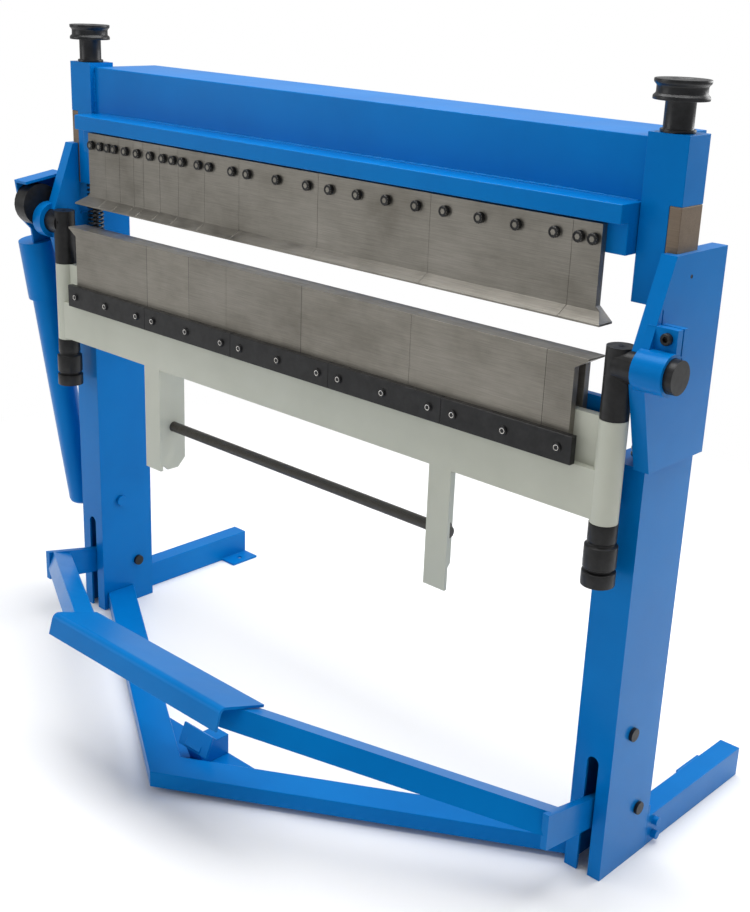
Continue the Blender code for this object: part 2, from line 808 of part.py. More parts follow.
def side_plate(side, word, boss_radius, boss_reach):
    """Thick plate on a column that carries the hinge pin in a clamped boss."""
    outline = [
        (PLATE_TOP_FRONT_Y, PLATE_TOP_Z),
        (PLATE_NOSE_Y, PLATE_NOSE_TOP_Z),
        (PLATE_NOSE_Y, PLATE_NOSE_BOTTOM_Z),
        (PLATE_BOTTOM_FRONT_Y, COLUMN_HEIGHT + FIT),
        (PLATE_REAR_Y, COLUMN_HEIGHT + FIT),
        (PLATE_REAR_Y, PLATE_TOP_Z),
    ]
    faces = sorted((side * PLATE_INNER, side * PLATE_OUTER))
    item = plate(word + "_side_plate", outline, faces[0], faces[1], "X", machine)
    root = side * (PLATE_OUTER - PLATE_THICKNESS / 2)
    tip = side * (PLATE_OUTER + boss_reach)
    boss = rod(
        word + "_boss",
        (root, HINGE_Y, HINGE_Z),
        (tip, HINGE_Y, HINGE_Z),
        boss_radius,
        FINE_FACES,
        machine,
        cutters,
    )
    bore = rod(
        word + "_pin_bore",
        (side * (PLATE_INNER - OVERRUN), HINGE_Y, HINGE_Z),
        (side * (PLATE_OUTER + boss_reach + OVERRUN), HINGE_Y, HINGE_Z),
        PIN_RADIUS + RUNNING,
        FINE_FACES,
        machine,
        cutters,
    )
    groove_ends = sorted((side * (PLATE_INNER - OVERRUN), side * (PLATE_INNER + GROOVE_DEPTH)))
    groove = block(
        word + "_guide_groove",
        (groove_ends[0], BOX_FRONT - RUNNING, GROOVE_BOTTOM_Z),
        (groove_ends[1], BOX_REAR + RUNNING, PLATE_TOP_Z + OVERRUN),
        machine,
        cutters,
    )
    fuse(item, boss)
    if side > 0:
        lug = block(
            word + "_clamp_lug",
            (root, HINGE_Y + LUG_BACK, HINGE_Z + LUG_ROOT),
            (tip - LUG_SLIT / 2, HINGE_Y + LUG_BACK + LUG_WIDTH, LUG_TOP_Z),
            machine,
            cutters,
        )
        slit_y = HINGE_Y + LUG_BACK + LUG_WIDTH / 2
        slit = block(
            word + "_clamp_slit",
            (PLATE_OUTER - LUG_SLIT / 2, slit_y, HINGE_Z + LUG_ROOT),
            (tip + OVERRUN, slit_y + LUG_SLIT, LUG_TOP_Z + OVERRUN),
            machine,
            cutters,
        )
        stud_x = (PLATE_OUTER + tip) / 2
        stud_z = HINGE_Z - STUD_DROP
        stud = rod(
            word + "_boss_stud",
            (stud_x, HINGE_Y + (boss_radius + PIN_RADIUS) / 2, stud_z),
            (stud_x, HINGE_Y + boss_radius + STUD_REACH, stud_z),
            STUD_RADIUS,
            SMALL_FACES,
            machine,
            cutters,
        )
        fuse(item, lug, stud)
        cut(item, slit)
    cut(item, bore, groove)
    enamel(item)


def bed():
    """Bed plate across the column fronts, its blades and the strip that backs them."""
    end_x = COLUMN_INNER + BED_PLATE_LAP
    ear_x = COLUMN_INNER - BED_EAR_WIDTH
    outline = [
        (-end_x, BED_PLATE_BOTTOM_Z),
        (-ear_x, BED_PLATE_BOTTOM_Z),
        (-ear_x, BED_PLATE_NOTCH_Z),
        (ear_x, BED_PLATE_NOTCH_Z),
        (ear_x, BED_PLATE_BOTTOM_Z),
        (end_x, BED_PLATE_BOTTOM_Z),
        (end_x, BED_PLATE_TOP_Z),
        (-end_x, BED_PLATE_TOP_Z),
    ]
    item = plate("bed_beam", outline, BED_PLATE_FRONT, COLUMN_FRONT - FIT, "Y", machine)
    enamel(item)
    strip = block(
        "bed_clamp_strip",
        (-HALF - BED_STRIP_OVERHANG, BED_BLADE_REAR + FIT, BED_PLATE_TOP_Z + FIT),
        (HALF + BED_STRIP_OVERHANG, BED_BLADE_REAR + FIT + BED_STRIP_DEPTH, BED_PLATE_TOP_Z + BED_STRIP_HEIGHT),
        machine,
    )
    enamel(strip)
    front = BED_BLADE_REAR - BLADE_THICKNESS
    section = [
        (BED_BLADE_REAR, BED_HEIGHT),
        (HINGE_Y, BED_HEIGHT),
        (HINGE_Y, BED_HEIGHT - BLADE_EDGE),
        (front, BED_HEIGHT - BED_BEVEL_DROP),
        (front, BED_BLADE_BOTTOM_Z),
        (BED_BLADE_REAR, BED_BLADE_BOTTOM_Z),
    ]
    blades("bed_blade", section, BED_DIVISION_SHARES, BED_HEIGHT, BED_HEIGHT - BED_BEVEL_DROP, machine)


def blades(stem, section, shares, top_z, root_z, parent):
    """Pieces of one blade section, side by side, the outer ones running out to a sharp horn."""
    stops = [-HALF + share * WORKING_LENGTH for share in (0,) + shares + (1,)]
    for number in range(len(stops) - 1):
        low = stops[number]
        high = stops[number + 1]
        item = plate(
            stem + "_" + str(number + 1),
            section,
            low - (HORN if number == 0 else 0),
            high + (HORN if number == len(stops) - 2 else -PIECE_GAP),
            "X",
            parent,
        )
        for side, at_end in ((-1, number == 0), (1, number == len(stops) - 2)):
            if at_end:
                cut(item, horn_cutter(item.name, side, section, top_z, root_z, parent))
        ground_steel(item)


def horn_cutter(name, side, section, top_z, root_z, parent):
    """Wedge that takes the end of a blade back to the working length under its horn."""
    ys = [point[0] for point in section]
    zs = [point[1] for point in section]
    sharp_z = (max(zs) if top_z > root_z else min(zs))
    drop = math.copysign(BLADE_EDGE, top_z - root_z)
    far_z = (min(zs) if top_z > root_z else max(zs))
    outline = [
        (side * (HALF + HORN), sharp_z - drop),
        (side * HALF, root_z),
        (side * HALF, far_z - math.copysign(OVERRUN, top_z - root_z)),
        (side * (HALF + HORN + OVERRUN), far_z - math.copysign(OVERRUN, top_z - root_z)),
        (side * (HALF + HORN + OVERRUN), sharp_z - drop),
    ]
    return plate(name + "_horn_cut", outline, min(ys) - OVERRUN, max(ys) + OVERRUN, "Y", parent, cutters)


def clamp_beam():
    """Hollow beam with closed ends, open only behind the end boxes, and its blade ledge."""
    item = block(
        "clamp_beam",
        (-BEAM_HALF, BEAM_FRONT, BEAM_BOTTOM_Z),
        (BEAM_HALF, BEAM_REAR, BEAM_TOP_Z),
        clamp,
    )
    hollow = block(
        "clamp_beam_hollow",
        (-BEAM_HALF + BEAM_WALL, BEAM_FRONT + BEAM_WALL, BEAM_BOTTOM_Z + BEAM_WALL),
        (BEAM_HALF - BEAM_WALL, BEAM_REAR - BEAM_WALL, BEAM_TOP_Z - BEAM_WALL),
        clamp,
        cutters,
    )
    window = block(
        "clamp_beam_window",
        (-BEAM_HALF - OVERRUN, BEAM_FRONT + 2 * BEAM_WALL, BEAM_BOTTOM_Z + 2 * BEAM_WALL),
        (BEAM_HALF + OVERRUN, BOX_REAR - BEAM_WALL, BEAM_TOP_Z - 2 * BEAM_WALL),
        clamp,
        cutters,
    )
    enamel(cut(item, hollow, window))
    section = [
        (HOLDER_LIP_FRONT, HOLDER_LIP_BOTTOM_Z),
        (BLADE_THICKNESS + FIT, HOLDER_LIP_BOTTOM_Z),
        (BLADE_THICKNESS + FIT, HOLDER_BOTTOM_Z),
        (BEAM_FRONT - FIT, HOLDER_BOTTOM_Z),
        (BEAM_FRONT - FIT, HOLDER_LIP_TOP_Z),
        (HOLDER_LIP_FRONT, HOLDER_LIP_TOP_Z),
    ]
    reach = HALF + HOLDER_OVERHANG
    enamel(plate("blade_holder", section, -reach, reach, "X", clamp))


def end_box(side, word):
    """Hollow slide box at each end of the clamp beam, with its steel guide strip."""
    inner = side * BOX_INNER
    outer = side * BOX_OUTER
    layer = side * LAYER_OUTER
    item = block(
        word + "_end_box",
        (min(inner, outer), BOX_FRONT, BOX_BOTTOM_Z),
        (max(inner, outer), BOX_REAR, BOX_TOP_Z),
        clamp,
    )
    hollow = block(
        word + "_end_box_hollow",
        (min(inner, outer) + BOX_WALL, BOX_FRONT + BOX_WALL, BOX_BOTTOM_Z + BOX_WALL),
        (max(inner, outer) - BOX_WALL, BOX_REAR - BOX_WALL, BOX_TOP_Z - BOX_WALL),
        clamp,
        cutters,
    )
    bore = rod(
        word + "_end_box_bore",
        (side * ROD_X, ROD_Y, BOX_BOTTOM_Z - OVERRUN),
        (side * ROD_X, ROD_Y, BOX_TOP_Z + OVERRUN),
        ROD_RADIUS + ROD_ROOM,
        ROUND_FACES,
        clamp,
        cutters,
    )
    upper_layer = block(
        word + "_end_box_layer",
        (min(side * (BOX_OUTER - BOX_WALL / 2), layer), BOX_FRONT, STRIP_TOP_Z + FIT),
        (max(side * (BOX_OUTER - BOX_WALL / 2), layer), BOX_REAR, BOX_TOP_Z),
        clamp,
        cutters,
    )
    cut(fuse(cut(item, hollow), upper_layer), bore)
    enamel(item)
    strip_inner = side * (BOX_OUTER + FIT)
    strip = block(
        word + "_guide_strip",
        (min(strip_inner, layer), BOX_FRONT, BOX_BOTTOM_Z),
        (max(strip_inner, layer), BOX_REAR, STRIP_TOP_Z),
        clamp,
    )
    worn_steel(strip)


def upper_blades():
    """Segments of the upper blade, from left to right, each with its clamping screws."""
    total = sum(UPPER_WIDTHS)
    foot = BED_HEIGHT + OPENING
    section = [
        (0, UPPER_TOP_Z),
        (BLADE_THICKNESS, UPPER_TOP_Z),
        (BLADE_THICKNESS, foot),
        (-UPPER_NOSE_REACH, foot),
        (-UPPER_NOSE_REACH, foot + BLADE_EDGE),
        (0, foot + BLADE_EDGE + UPPER_NOSE_RISE),
    ]
    section.reverse()
    low = -HALF
    last = len(UPPER_WIDTHS) - 1
    for number, (width, screws) in enumerate(zip(UPPER_WIDTHS, UPPER_SCREWS)):
        high = low + width * WORKING_LENGTH / total
        name = "upper_blade_" + str(number + 1)
        item = plate(
            name,
            section,
            low - (HORN if number == 0 else 0),
            high + (HORN if number == last else -PIECE_GAP),
            "X",
            clamp,
        )
        for side, at_end in ((-1, number == 0), (1, number == last)):
            if at_end:
                cut(item, horn_cutter(name, side, section, foot, foot + HORN, clamp))
        margin = (high - low) / 2
        if screws > 1:
            margin = UPPER_SCREW_RADIUS + (high - low) * UPPER_SCREW_SIDE_SHARE
        for place in range(screws):
            step = (high - low - 2 * margin) / max(screws - 1, 1)
            x = low + margin + place * step
            head = rod(
                name + "_screw_" + str(place + 1),
                (x, BLADE_THICKNESS / 2, UPPER_SCREW_Z),
                (x, -UPPER_SCREW_HEIGHT, UPPER_SCREW_Z),
                UPPER_SCREW_RADIUS,
                SCREW_FACES,
                clamp,
                cutters,
            )
            join_solids(item, [head], "UNION", "MANIFOLD")
        ground_steel(item)
        low = high


def clamp_rod(side, word):
    """Pull rod from the knob down into the column, with the spring that lifts the beam."""
    x = side * ROD_X
    top = BOX_TOP_Z + FIT + ROD_IN_KNOB
    pull = rod(
        word + "_pull_rod",
        (x, ROD_Y, ROD_BOTTOM_Z),
        (x, ROD_Y, top),
        ROD_RADIUS,
        ROUND_FACES,
        clamp,
    )
    blackened(pull)
    return_spring(word + "_return_spring", x, side)
    knob(word, x, top)


def return_spring(name, x, hand):
    """Open coil spring on the rod; each end runs straight for one wire diameter."""
    bottom = COLUMN_HEIGHT + FIT
    top = BOX_BOTTOM_Z - FIT
    low = bottom + SPRING_WIRE
    high = top - SPRING_WIRE
    count = SPRING_CURLS * SPRING_POINTS + 1
    pitch = (high - low) / SPRING_CURLS
    points = []
    for i in range(count):
        angle = hand * 2 * math.pi * i / SPRING_POINTS
        points.append(
            Vector((
                SPRING_RADIUS * math.cos(angle),
                SPRING_RADIUS * math.sin(angle),
                low + pitch * i / SPRING_POINTS,
            ))
        )
    route = [Vector((points[0].x, points[0].y, bottom))] + points
    route.append(Vector((points[-1].x, points[-1].y, top)))
    curve = bpy.data.curves.new(name, "CURVE")
    curve.dimensions = "3D"
    curve.bevel_depth = SPRING_WIRE / 2
    curve.bevel_resolution = 1
    curve.use_fill_caps = True
    line = curve.splines.new("POLY")
    line.points.add(len(route) - 1)
    for point, place in zip(line.points, route):
        point.co = (place.x, place.y, place.z, 1)
    item = bpy.data.objects.new(name, curve)
    item.location = (x, ROD_Y, 0)
    parts.objects.link(item)
    attach(item, machine)
    blackened(item)
    print(name, "least gap to itself, mm:", round(1000 * least_gap(points), 3))


def least_gap(points):
    """Least distance between the wire's points one or more curls apart, less one wire diameter."""
    nearest = None
    near_turn = SPRING_POINTS // 2
    for i, here in enumerate(points):
        for there in points[i + near_turn:]:
            distance = (there - here).length
            nearest = distance if nearest is None else min(nearest, distance)
    return nearest - SPRING_WIRE


def knob(word, x, rod_top):
    """Round nut with two flanges and a groove between them, on a neck and a washer."""
    base = BOX_TOP_Z + FIT
    neck = base + KNOB_WASHER_HEIGHT
    flange = neck + KNOB_NECK_HEIGHT
    groove = flange + KNOB_FLANGE_HEIGHT
    upper = groove + KNOB_GROOVE_HEIGHT
    top = upper + KNOB_FLANGE_HEIGHT
    bore = ROD_RADIUS + ROD_ROOM
    profile = [
        (0, top),
        (KNOB_FLANGE_RADIUS, top),
        (KNOB_FLANGE_RADIUS, upper),
        (KNOB_GROOVE_RADIUS, upper - KNOB_GROOVE_SLOPE),
        (KNOB_GROOVE_RADIUS, groove + KNOB_GROOVE_SLOPE),
        (KNOB_FLANGE_RADIUS, groove),
        (KNOB_FLANGE_RADIUS, flange),
        (KNOB_NECK_RADIUS, flange),
        (KNOB_NECK_RADIUS, neck),
        (KNOB_WASHER_RADIUS, neck),
        (KNOB_WASHER_RADIUS, base),
        (bore, base),
        (bore, rod_top + FIT),
        (0, rod_top + FIT),
    ]
    profile = [(radius, height - base) for radius, height in profile]
    axis = carrier(word + "_knob_axis", (x, ROD_Y, base), clamp)
    item = turned(word + "_knob", profile, (x, ROD_Y, base), ROUND_FACES, axis)
    blackened(item)


def bending_beam():
    """Light frame that swings up: panel, end tubes and two angle brackets below."""
    front = BEND_BLADE_FRONT
    section = [
        (front, PANEL_BOTTOM_Z),
        (PANEL_REAR, PANEL_BOTTOM_Z),
        (PANEL_REAR, PANEL_TOP_Z),
        (front + BLADE_THICKNESS + FIT, PANEL_TOP_Z),
        (front + BLADE_THICKNESS + FIT, BEND_BLADE_BOTTOM_Z - FIT),
        (front, BEND_BLADE_BOTTOM_Z - FIT),
    ]
    item = plate("bending_beam", section, -LINE_X, LINE_X, "X", apron)
    for side, word in SIDES:
        tube = rod(
            word + "_beam_tube",
            (side * LINE_X, HINGE_Y, TUBE_BOTTOM_Z),
            (side * LINE_X, HINGE_Y, POST_SHOULDER_Z - FIT),
            POST_RADIUS,
            FINE_FACES,
            apron,
            cutters,
        )
        fuse(item, tube)
    for side, word in SIDES:
        bracket_tools(item, side, word)
    for side, word in SIDES:
        bore = rod(
            word + "_spindle_bore",
            (side * LINE_X, HINGE_Y, PANEL_BOTTOM_Z - OVERRUN),
            (side * LINE_X, HINGE_Y, POST_SHOULDER_Z + OVERRUN),
            SPINDLE_RADIUS + RUNNING,
            ROUND_FACES,
            apron,
            cutters,
        )
        cut(item, bore)
    light_enamel(item)


def bracket_tools(item, side, word):
    """Angle bracket: a flat flush with the panel and a web that carries the crowning rod."""
    inner = side * (BRACKET_X - BRACKET_WIDTH / 2)
    outer = side * (BRACKET_X + BRACKET_WIDTH / 2)
    front = BEND_BLADE_FRONT
    overlap = PANEL_BOTTOM_Z + BRACKET_THICKNESS
    flat = block(
        word + "_bracket_flat",
        (min(inner, outer), front, BRACKET_BOTTOM_Z),
        (max(inner, outer), front + BRACKET_THICKNESS, overlap),
        apron,
        cutters,
    )
    web_far = inner + side * BRACKET_THICKNESS
    web_outline = [
        (front, overlap),
        (front, BRACKET_BOTTOM_Z + BRACKET_CHAMFER),
        (front + BRACKET_CHAMFER, BRACKET_BOTTOM_Z),
        (front + BRACKET_DEPTH - BRACKET_CHAMFER, BRACKET_BOTTOM_Z),
        (front + BRACKET_DEPTH, BRACKET_BOTTOM_Z + BRACKET_CHAMFER),
        (front + BRACKET_DEPTH, PANEL_BOTTOM_Z - BRACKET_CHAMFER),
        (PANEL_REAR, PANEL_BOTTOM_Z),
        (PANEL_REAR, overlap),
    ]
    web = plate(
        word + "_bracket_web",
        web_outline,
        min(inner, web_far),
        max(inner, web_far),
        "X",
        apron,
        cutters,
    )
    hole = rod(
        word + "_bracket_hole",
        (inner - side * OVERRUN, CROWN_ROD_Y, CROWN_ROD_Z),
        (web_far + side * OVERRUN, CROWN_ROD_Y, CROWN_ROD_Z),
        CROWN_ROD_RADIUS + RUNNING,
        ROUND_FACES,
        apron,
        cutters,
    )
    fuse(item, flat, web)
    cut(item, hole)


def crowning_rod():
    """Threaded rod between the brackets with a nut outside each web."""
    web_outer = BRACKET_X - BRACKET_WIDTH / 2 + BRACKET_THICKNESS
    end = web_outer + CROWN_NUT_HEIGHT + CROWN_ROD_END
    item = rod(
        "crowning_rod",
        (-end, CROWN_ROD_Y, CROWN_ROD_Z),
        (end, CROWN_ROD_Y, CROWN_ROD_Z),
        CROWN_ROD_RADIUS,
        ROUND_FACES,
        apron,
    )
    for side, word in SIDES:
        nut = rod(
            word + "_crowning_nut",
            (side * (web_outer + FIT), CROWN_ROD_Y, CROWN_ROD_Z),
            (side * (web_outer + CROWN_NUT_HEIGHT), CROWN_ROD_Y, CROWN_ROD_Z),
            CROWN_NUT_RADIUS,
            HEX_FACES,
            apron,
            cutters,
        )
        fuse(item, nut)
    blackened(item)


def hinge_post(side, word):
    """Upright post with the spindle that carries the bending beam and the hinge pin."""
    x = side * LINE_X
    profile = [
        (0, POST_TOP_Z),
        (POST_RADIUS, POST_TOP_Z),
        (POST_RADIUS, POST_SHOULDER_Z),
        (SPINDLE_RADIUS, POST_SHOULDER_Z),
        (SPINDLE_RADIUS, SPINDLE_BOTTOM_Z),
        (0, SPINDLE_BOTTOM_Z),
    ]
    profile = [(radius, height - HINGE_Z) for radius, height in profile]
    item = turned(word + "_hinge_post", profile, (x, HINGE_Y, HINGE_Z), FINE_FACES, swing)
    end = side * (PIN_END if side > 0 else PLATE_OUTER + LEFT_BOSS_REACH)
    pin = rod(
        word + "_hinge_pin",
        (x, HINGE_Y, HINGE_Z),
        (end, HINGE_Y, HINGE_Z),
        PIN_RADIUS,
        FINE_FACES,
        swing,
        cutters,
    )
    fuse(item, pin)
    blackened(item)


def adjusting_nut(side, word):
    """Stepped nut under the beam's tube that sets the height of the bending beam."""
    x = side * LINE_X
    top = TUBE_BOTTOM_Z - FIT
    height = top - NUT_BOTTOM_Z
    bore = SPINDLE_RADIUS + RUNNING
    rows = [
        (NUT_RADIUS, 0),
        (NUT_RADIUS, NUT_NECK_SHARES[0]),
        (NUT_NECK_RADIUS, NUT_NECK_SHARES[0]),
        (NUT_NECK_RADIUS, NUT_NECK_SHARES[1]),
        (NUT_COLLAR_RADIUS, NUT_NECK_SHARES[1]),
        (NUT_COLLAR_RADIUS, NUT_NECK_SHARES[2]),
        (NUT_NECK_RADIUS, NUT_NECK_SHARES[2]),
        (NUT_NECK_RADIUS, NUT_NECK_SHARES[3]),
        (NUT_FLANGE_RADIUS, NUT_NECK_SHARES[3]),
        (NUT_FLANGE_RADIUS, 1),
    ]
    profile = [(radius, top - share * height) for radius, share in rows]
    profile = profile + [
        (0, NUT_BOTTOM_Z),
    ]
    inner = [(0, SPINDLE_BOTTOM_Z - FIT * 3), (bore, SPINDLE_BOTTOM_Z - FIT * 3), (bore, top)]
    outline = inner + profile
    outline = [(radius, height_z - top) for radius, height_z in outline]
    axis = carrier(word + "_nut_axis", (x, HINGE_Y, top), apron)
    item = turned(word + "_adjusting_nut", outline, (x, HINGE_Y, top), ROUND_FACES, axis)
    blackened(item)


def clamp_bars():
    """Row of flat bars with socket screws that hold the bending blade."""
    total = BAR_COUNT * BAR_LENGTH
    rear = BEND_BLADE_FRONT - FIT
    spacing = BAR_LENGTH * BAR_SCREW_SHARE
    middle_z = BEND_BLADE_BOTTOM_Z + BAR_HEIGHT / 2
    for number in range(BAR_COUNT):
        low = -total / 2 + number * BAR_LENGTH
        high = low + BAR_LENGTH - (PIECE_GAP if number < BAR_COUNT - 1 else 0)
        name = "clamp_bar_" + str(number + 1)
        item = block(
            name,
            (low, rear - BAR_THICKNESS, BEND_BLADE_BOTTOM_Z),
            (high, rear, BEND_BLADE_BOTTOM_Z + BAR_HEIGHT),
            apron,
        )
        for place in (-1, 0, 1):
            x = low + BAR_LENGTH / 2 + place * spacing
            head = rod(
                name + "_screw_" + str(place + 2),
                (x, rear - BAR_THICKNESS / 2, middle_z),
                (x, rear - BAR_THICKNESS - BAR_SCREW_HEIGHT, middle_z),
                BAR_SCREW_RADIUS,
                SCREW_FACES,
                apron,
                cutters,
            )
            fuse(item, head)
        blackened(item)


def bending_blades():
    """Blade of the bending beam, flush with the bed when at rest."""
    front = BEND_BLADE_FRONT
    rear = front + BLADE_THICKNESS
    section = [
        (front, BEND_BLADE_TOP_Z),
        (front, BEND_BLADE_BOTTOM_Z),
        (rear, BEND_BLADE_BOTTOM_Z),
        (rear, BEND_BLADE_TOP_Z - BEND_BEVEL_DROP),
        (BEND_NOSE_REAR, BEND_BLADE_TOP_Z - BLADE_EDGE),
        (BEND_NOSE_REAR, BEND_BLADE_TOP_Z),
    ]
    root = BEND_BLADE_TOP_Z - BEND_BEVEL_DROP
    blades("bending_blade", section, BEND_DIVISION_SHARES, BEND_BLADE_TOP_Z, root, apron)


def side_line(points, distance):
    """A path that runs to +X, moved sideways, with mitred corners and ends cut square to X."""
    moved = []
    last = len(points) - 1
    for i, here in enumerate(points):
        here = Vector(here)
        if i in (0, last):
            other = Vector(points[1 if i == 0 else last - 1])
            along = (other - here if i == 0 else here - other).normalized()
            moved.append((here.x, here.y + distance / along.x))
            continue
        before = (here - Vector(points[i - 1])).normalized()
        after = (Vector(points[i + 1]) - here).normalized()
        square = Vector((-before.y, before.x))
        mitre = (square + Vector((-after.y, after.x))).normalized()
        moved.append(tuple(here + mitre * (distance / mitre.dot(square))))
    return moved


def bar_outline(points, width):
    return side_line(points, -width / 2) + side_line(points, width / 2)[::-1]


def pedal_frame():
    """Bent frame of square tube on two pivot plates, running down from under the tread."""
    tube_front = PEDAL_MIDDLE_BACK - PEDAL_TUBE / 2
    drop = TREAD_THICKNESS + FIT - tube_front * math.tan(PEDAL_TILT)
    arm_end = (PEDAL_END_Y - TREAD_BEND_Y) / math.cos(PEDAL_SLOPE)
    middle = [
        (-LINE_X, arm_end),
        (-PEDAL_MIDDLE_HALF, PEDAL_MIDDLE_BACK),
        (PEDAL_MIDDLE_HALF, PEDAL_MIDDLE_BACK),
        (LINE_X, arm_end),
    ]
    item = plate(
        "pedal_frame",
        bar_outline(middle, PEDAL_TUBE),
        -drop - PEDAL_TUBE,
        -drop,
        "Z",
        pedal_plane,
    )
    shorter = arm_end / LINE_X * PEDAL_PLATE_THICKNESS
    inner = [
        (-LINE_X + PEDAL_PLATE_THICKNESS, arm_end - shorter),
        middle[1],
        middle[2],
        (LINE_X - PEDAL_PLATE_THICKNESS, arm_end - shorter),
    ]
    hollow = plate(
        "pedal_hollow",
        bar_outline(inner, PEDAL_TUBE - 2 * PEDAL_WALL),
        -drop - PEDAL_TUBE + PEDAL_WALL,
        -drop - PEDAL_WALL,
        "Z",
        pedal_plane,
        cutters,
    )
    vent = rod(
        "pedal_vent",
        (0, PEDAL_MIDDLE_BACK, -drop - PEDAL_TUBE - OVERRUN),
        (0, PEDAL_MIDDLE_BACK, -drop - PEDAL_TUBE / 2),
        PEDAL_VENT_RADIUS,
        SMALL_FACES,
        pedal_plane,
        cutters,
    )
    for side, word in SIDES:
        half = PEDAL_PLATE_THICKNESS / 2
        eye = circle_points((PEDAL_PIVOT_Y, PEDAL_PIVOT_Z), PEDAL_EYE_RADIUS, -80, 80, SMALL_FACES)
        outline = eye + [
            (PEDAL_PLATE_FRONT_Y, PEDAL_PLATE_FRONT_TOP_Z),
            (PEDAL_PLATE_FRONT_Y, PEDAL_PLATE_FRONT_BOTTOM_Z),
        ]
        cheek = plate(
            word + "_pedal_cheek",
            outline,
            side * LINE_X - half,
            side * LINE_X + half,
            "X",
            pedal,
            cutters,
        )
        fuse(item, cheek)
    cut(item, hollow, vent)
    for side, word in SIDES:
        bore = rod(
            word + "_pedal_bore",
            (side * LINE_X - OVERRUN, PEDAL_PIVOT_Y, PEDAL_PIVOT_Z),
            (side * LINE_X + OVERRUN, PEDAL_PIVOT_Y, PEDAL_PIVOT_Z),
            PIVOT_RADIUS + RUNNING,
            ROUND_FACES,
            pedal,
            cutters,
        )
        cut(item, bore)
    enamel(item)


def pedal_tread():
    """Tread folded from plate, with a lip in front, a rounded bend and a stop tab below."""
    lip = Vector((TREAD_LIP_Y, TREAD_LIP_Z))
    bend = Vector((TREAD_BEND_Y, TREAD_BEND_Z))
    rear = Vector((TREAD_REAR_Y, TREAD_REAR_Z))
    down = (lip - bend).normalized()
    back = (rear - bend).normalized()
    half_turn = down.angle(back) / 2
    centre = bend + (down + back).normalized() * (TREAD_BEND_RADIUS / math.sin(half_turn))
    out_front = Vector((down.y, -down.x))
    out_top = Vector((-back.y, back.x))
    start = math.degrees(math.atan2(out_front.y, out_front.x))
    end = math.degrees(math.atan2(out_top.y, out_top.x))
    if start < end:
        start += 360
    inner_radius = TREAD_BEND_RADIUS - TREAD_THICKNESS
    outer = [tuple(lip)] + circle_points(centre, TREAD_BEND_RADIUS, start, end, BEND_POINTS) + [tuple(rear)]
    inner = [tuple(lip - out_front * TREAD_THICKNESS)]
    inner += circle_points(centre, inner_radius, start, end, BEND_POINTS)
    inner += [tuple(rear - out_top * TREAD_THICKNESS)]
    item = plate(
        "pedal_tread",
        outer + inner[::-1],
        -TREAD_HALF_LENGTH,
        TREAD_HALF_LENGTH,
        "X",
        pedal,
    )
    tab_rear = TREAD_REAR_Y - TAB_BACK
    tab = block(
        "tread_tab",
        (-TAB_WIDTH / 2, tab_rear - TAB_THICKNESS, TAB_BOTTOM_Z),
        (TAB_WIDTH / 2, tab_rear, TREAD_REAR_Z),
        pedal,
        cutters,
    )
    fuse(item, tab)
    enamel(item)


def balancer_crank():
    """Round crank on the end of the left hinge pin, set off towards the balancer."""
    turn = BALANCER_LEAN + CRANK_FORWARD
    place_y = HINGE_Y - CRANK_OFFSET * math.sin(turn)
    place_z = HINGE_Z + CRANK_OFFSET * math.cos(turn)
    item = rod(
        "balancer_crank",
        (-CRANK_INNER, place_y, place_z),
        (-CRANK_OUTER, place_y, place_z),
        CRANK_RADIUS,
        FINE_FACES,
        swing,
    )
    blackened(item)


def balancer_tube():
    """Tube that rocks on the anchor pin, with a domed foot and an open top."""
    inner = BALANCER_RADIUS - BALANCER_WALL
    dome = circle_points((0, 0), 1, 0, -90, DOME_POINTS)
    foot = BALANCER_RADIUS * DOME_SHARE
    profile = [
        (inner, BALANCER_TOP),
        (BALANCER_RADIUS, BALANCER_TOP),
    ]
    for across, up in dome:
        profile.append((BALANCER_RADIUS * max(across, 0), -BALANCER_TAIL + foot + foot * up))
    profile[-1] = (0, -BALANCER_TAIL)
    floor = -BALANCER_TAIL + foot
    profile = [(0, floor), (inner, floor)][:1] + [(inner, floor)] + profile
    item = turned("balancer_tube", profile, (0, 0, 0), FINE_FACES, balancer)
    hole = rod(
        "balancer_tube_hole",
        (0, 0, 0),
        (BALANCER_RADIUS + OVERRUN, 0, 0),
        ANCHOR_RADIUS + RUNNING,
        ROUND_FACES,
        balancer,
        cutters,
    )
    cut(item, hole)
    enamel(item)


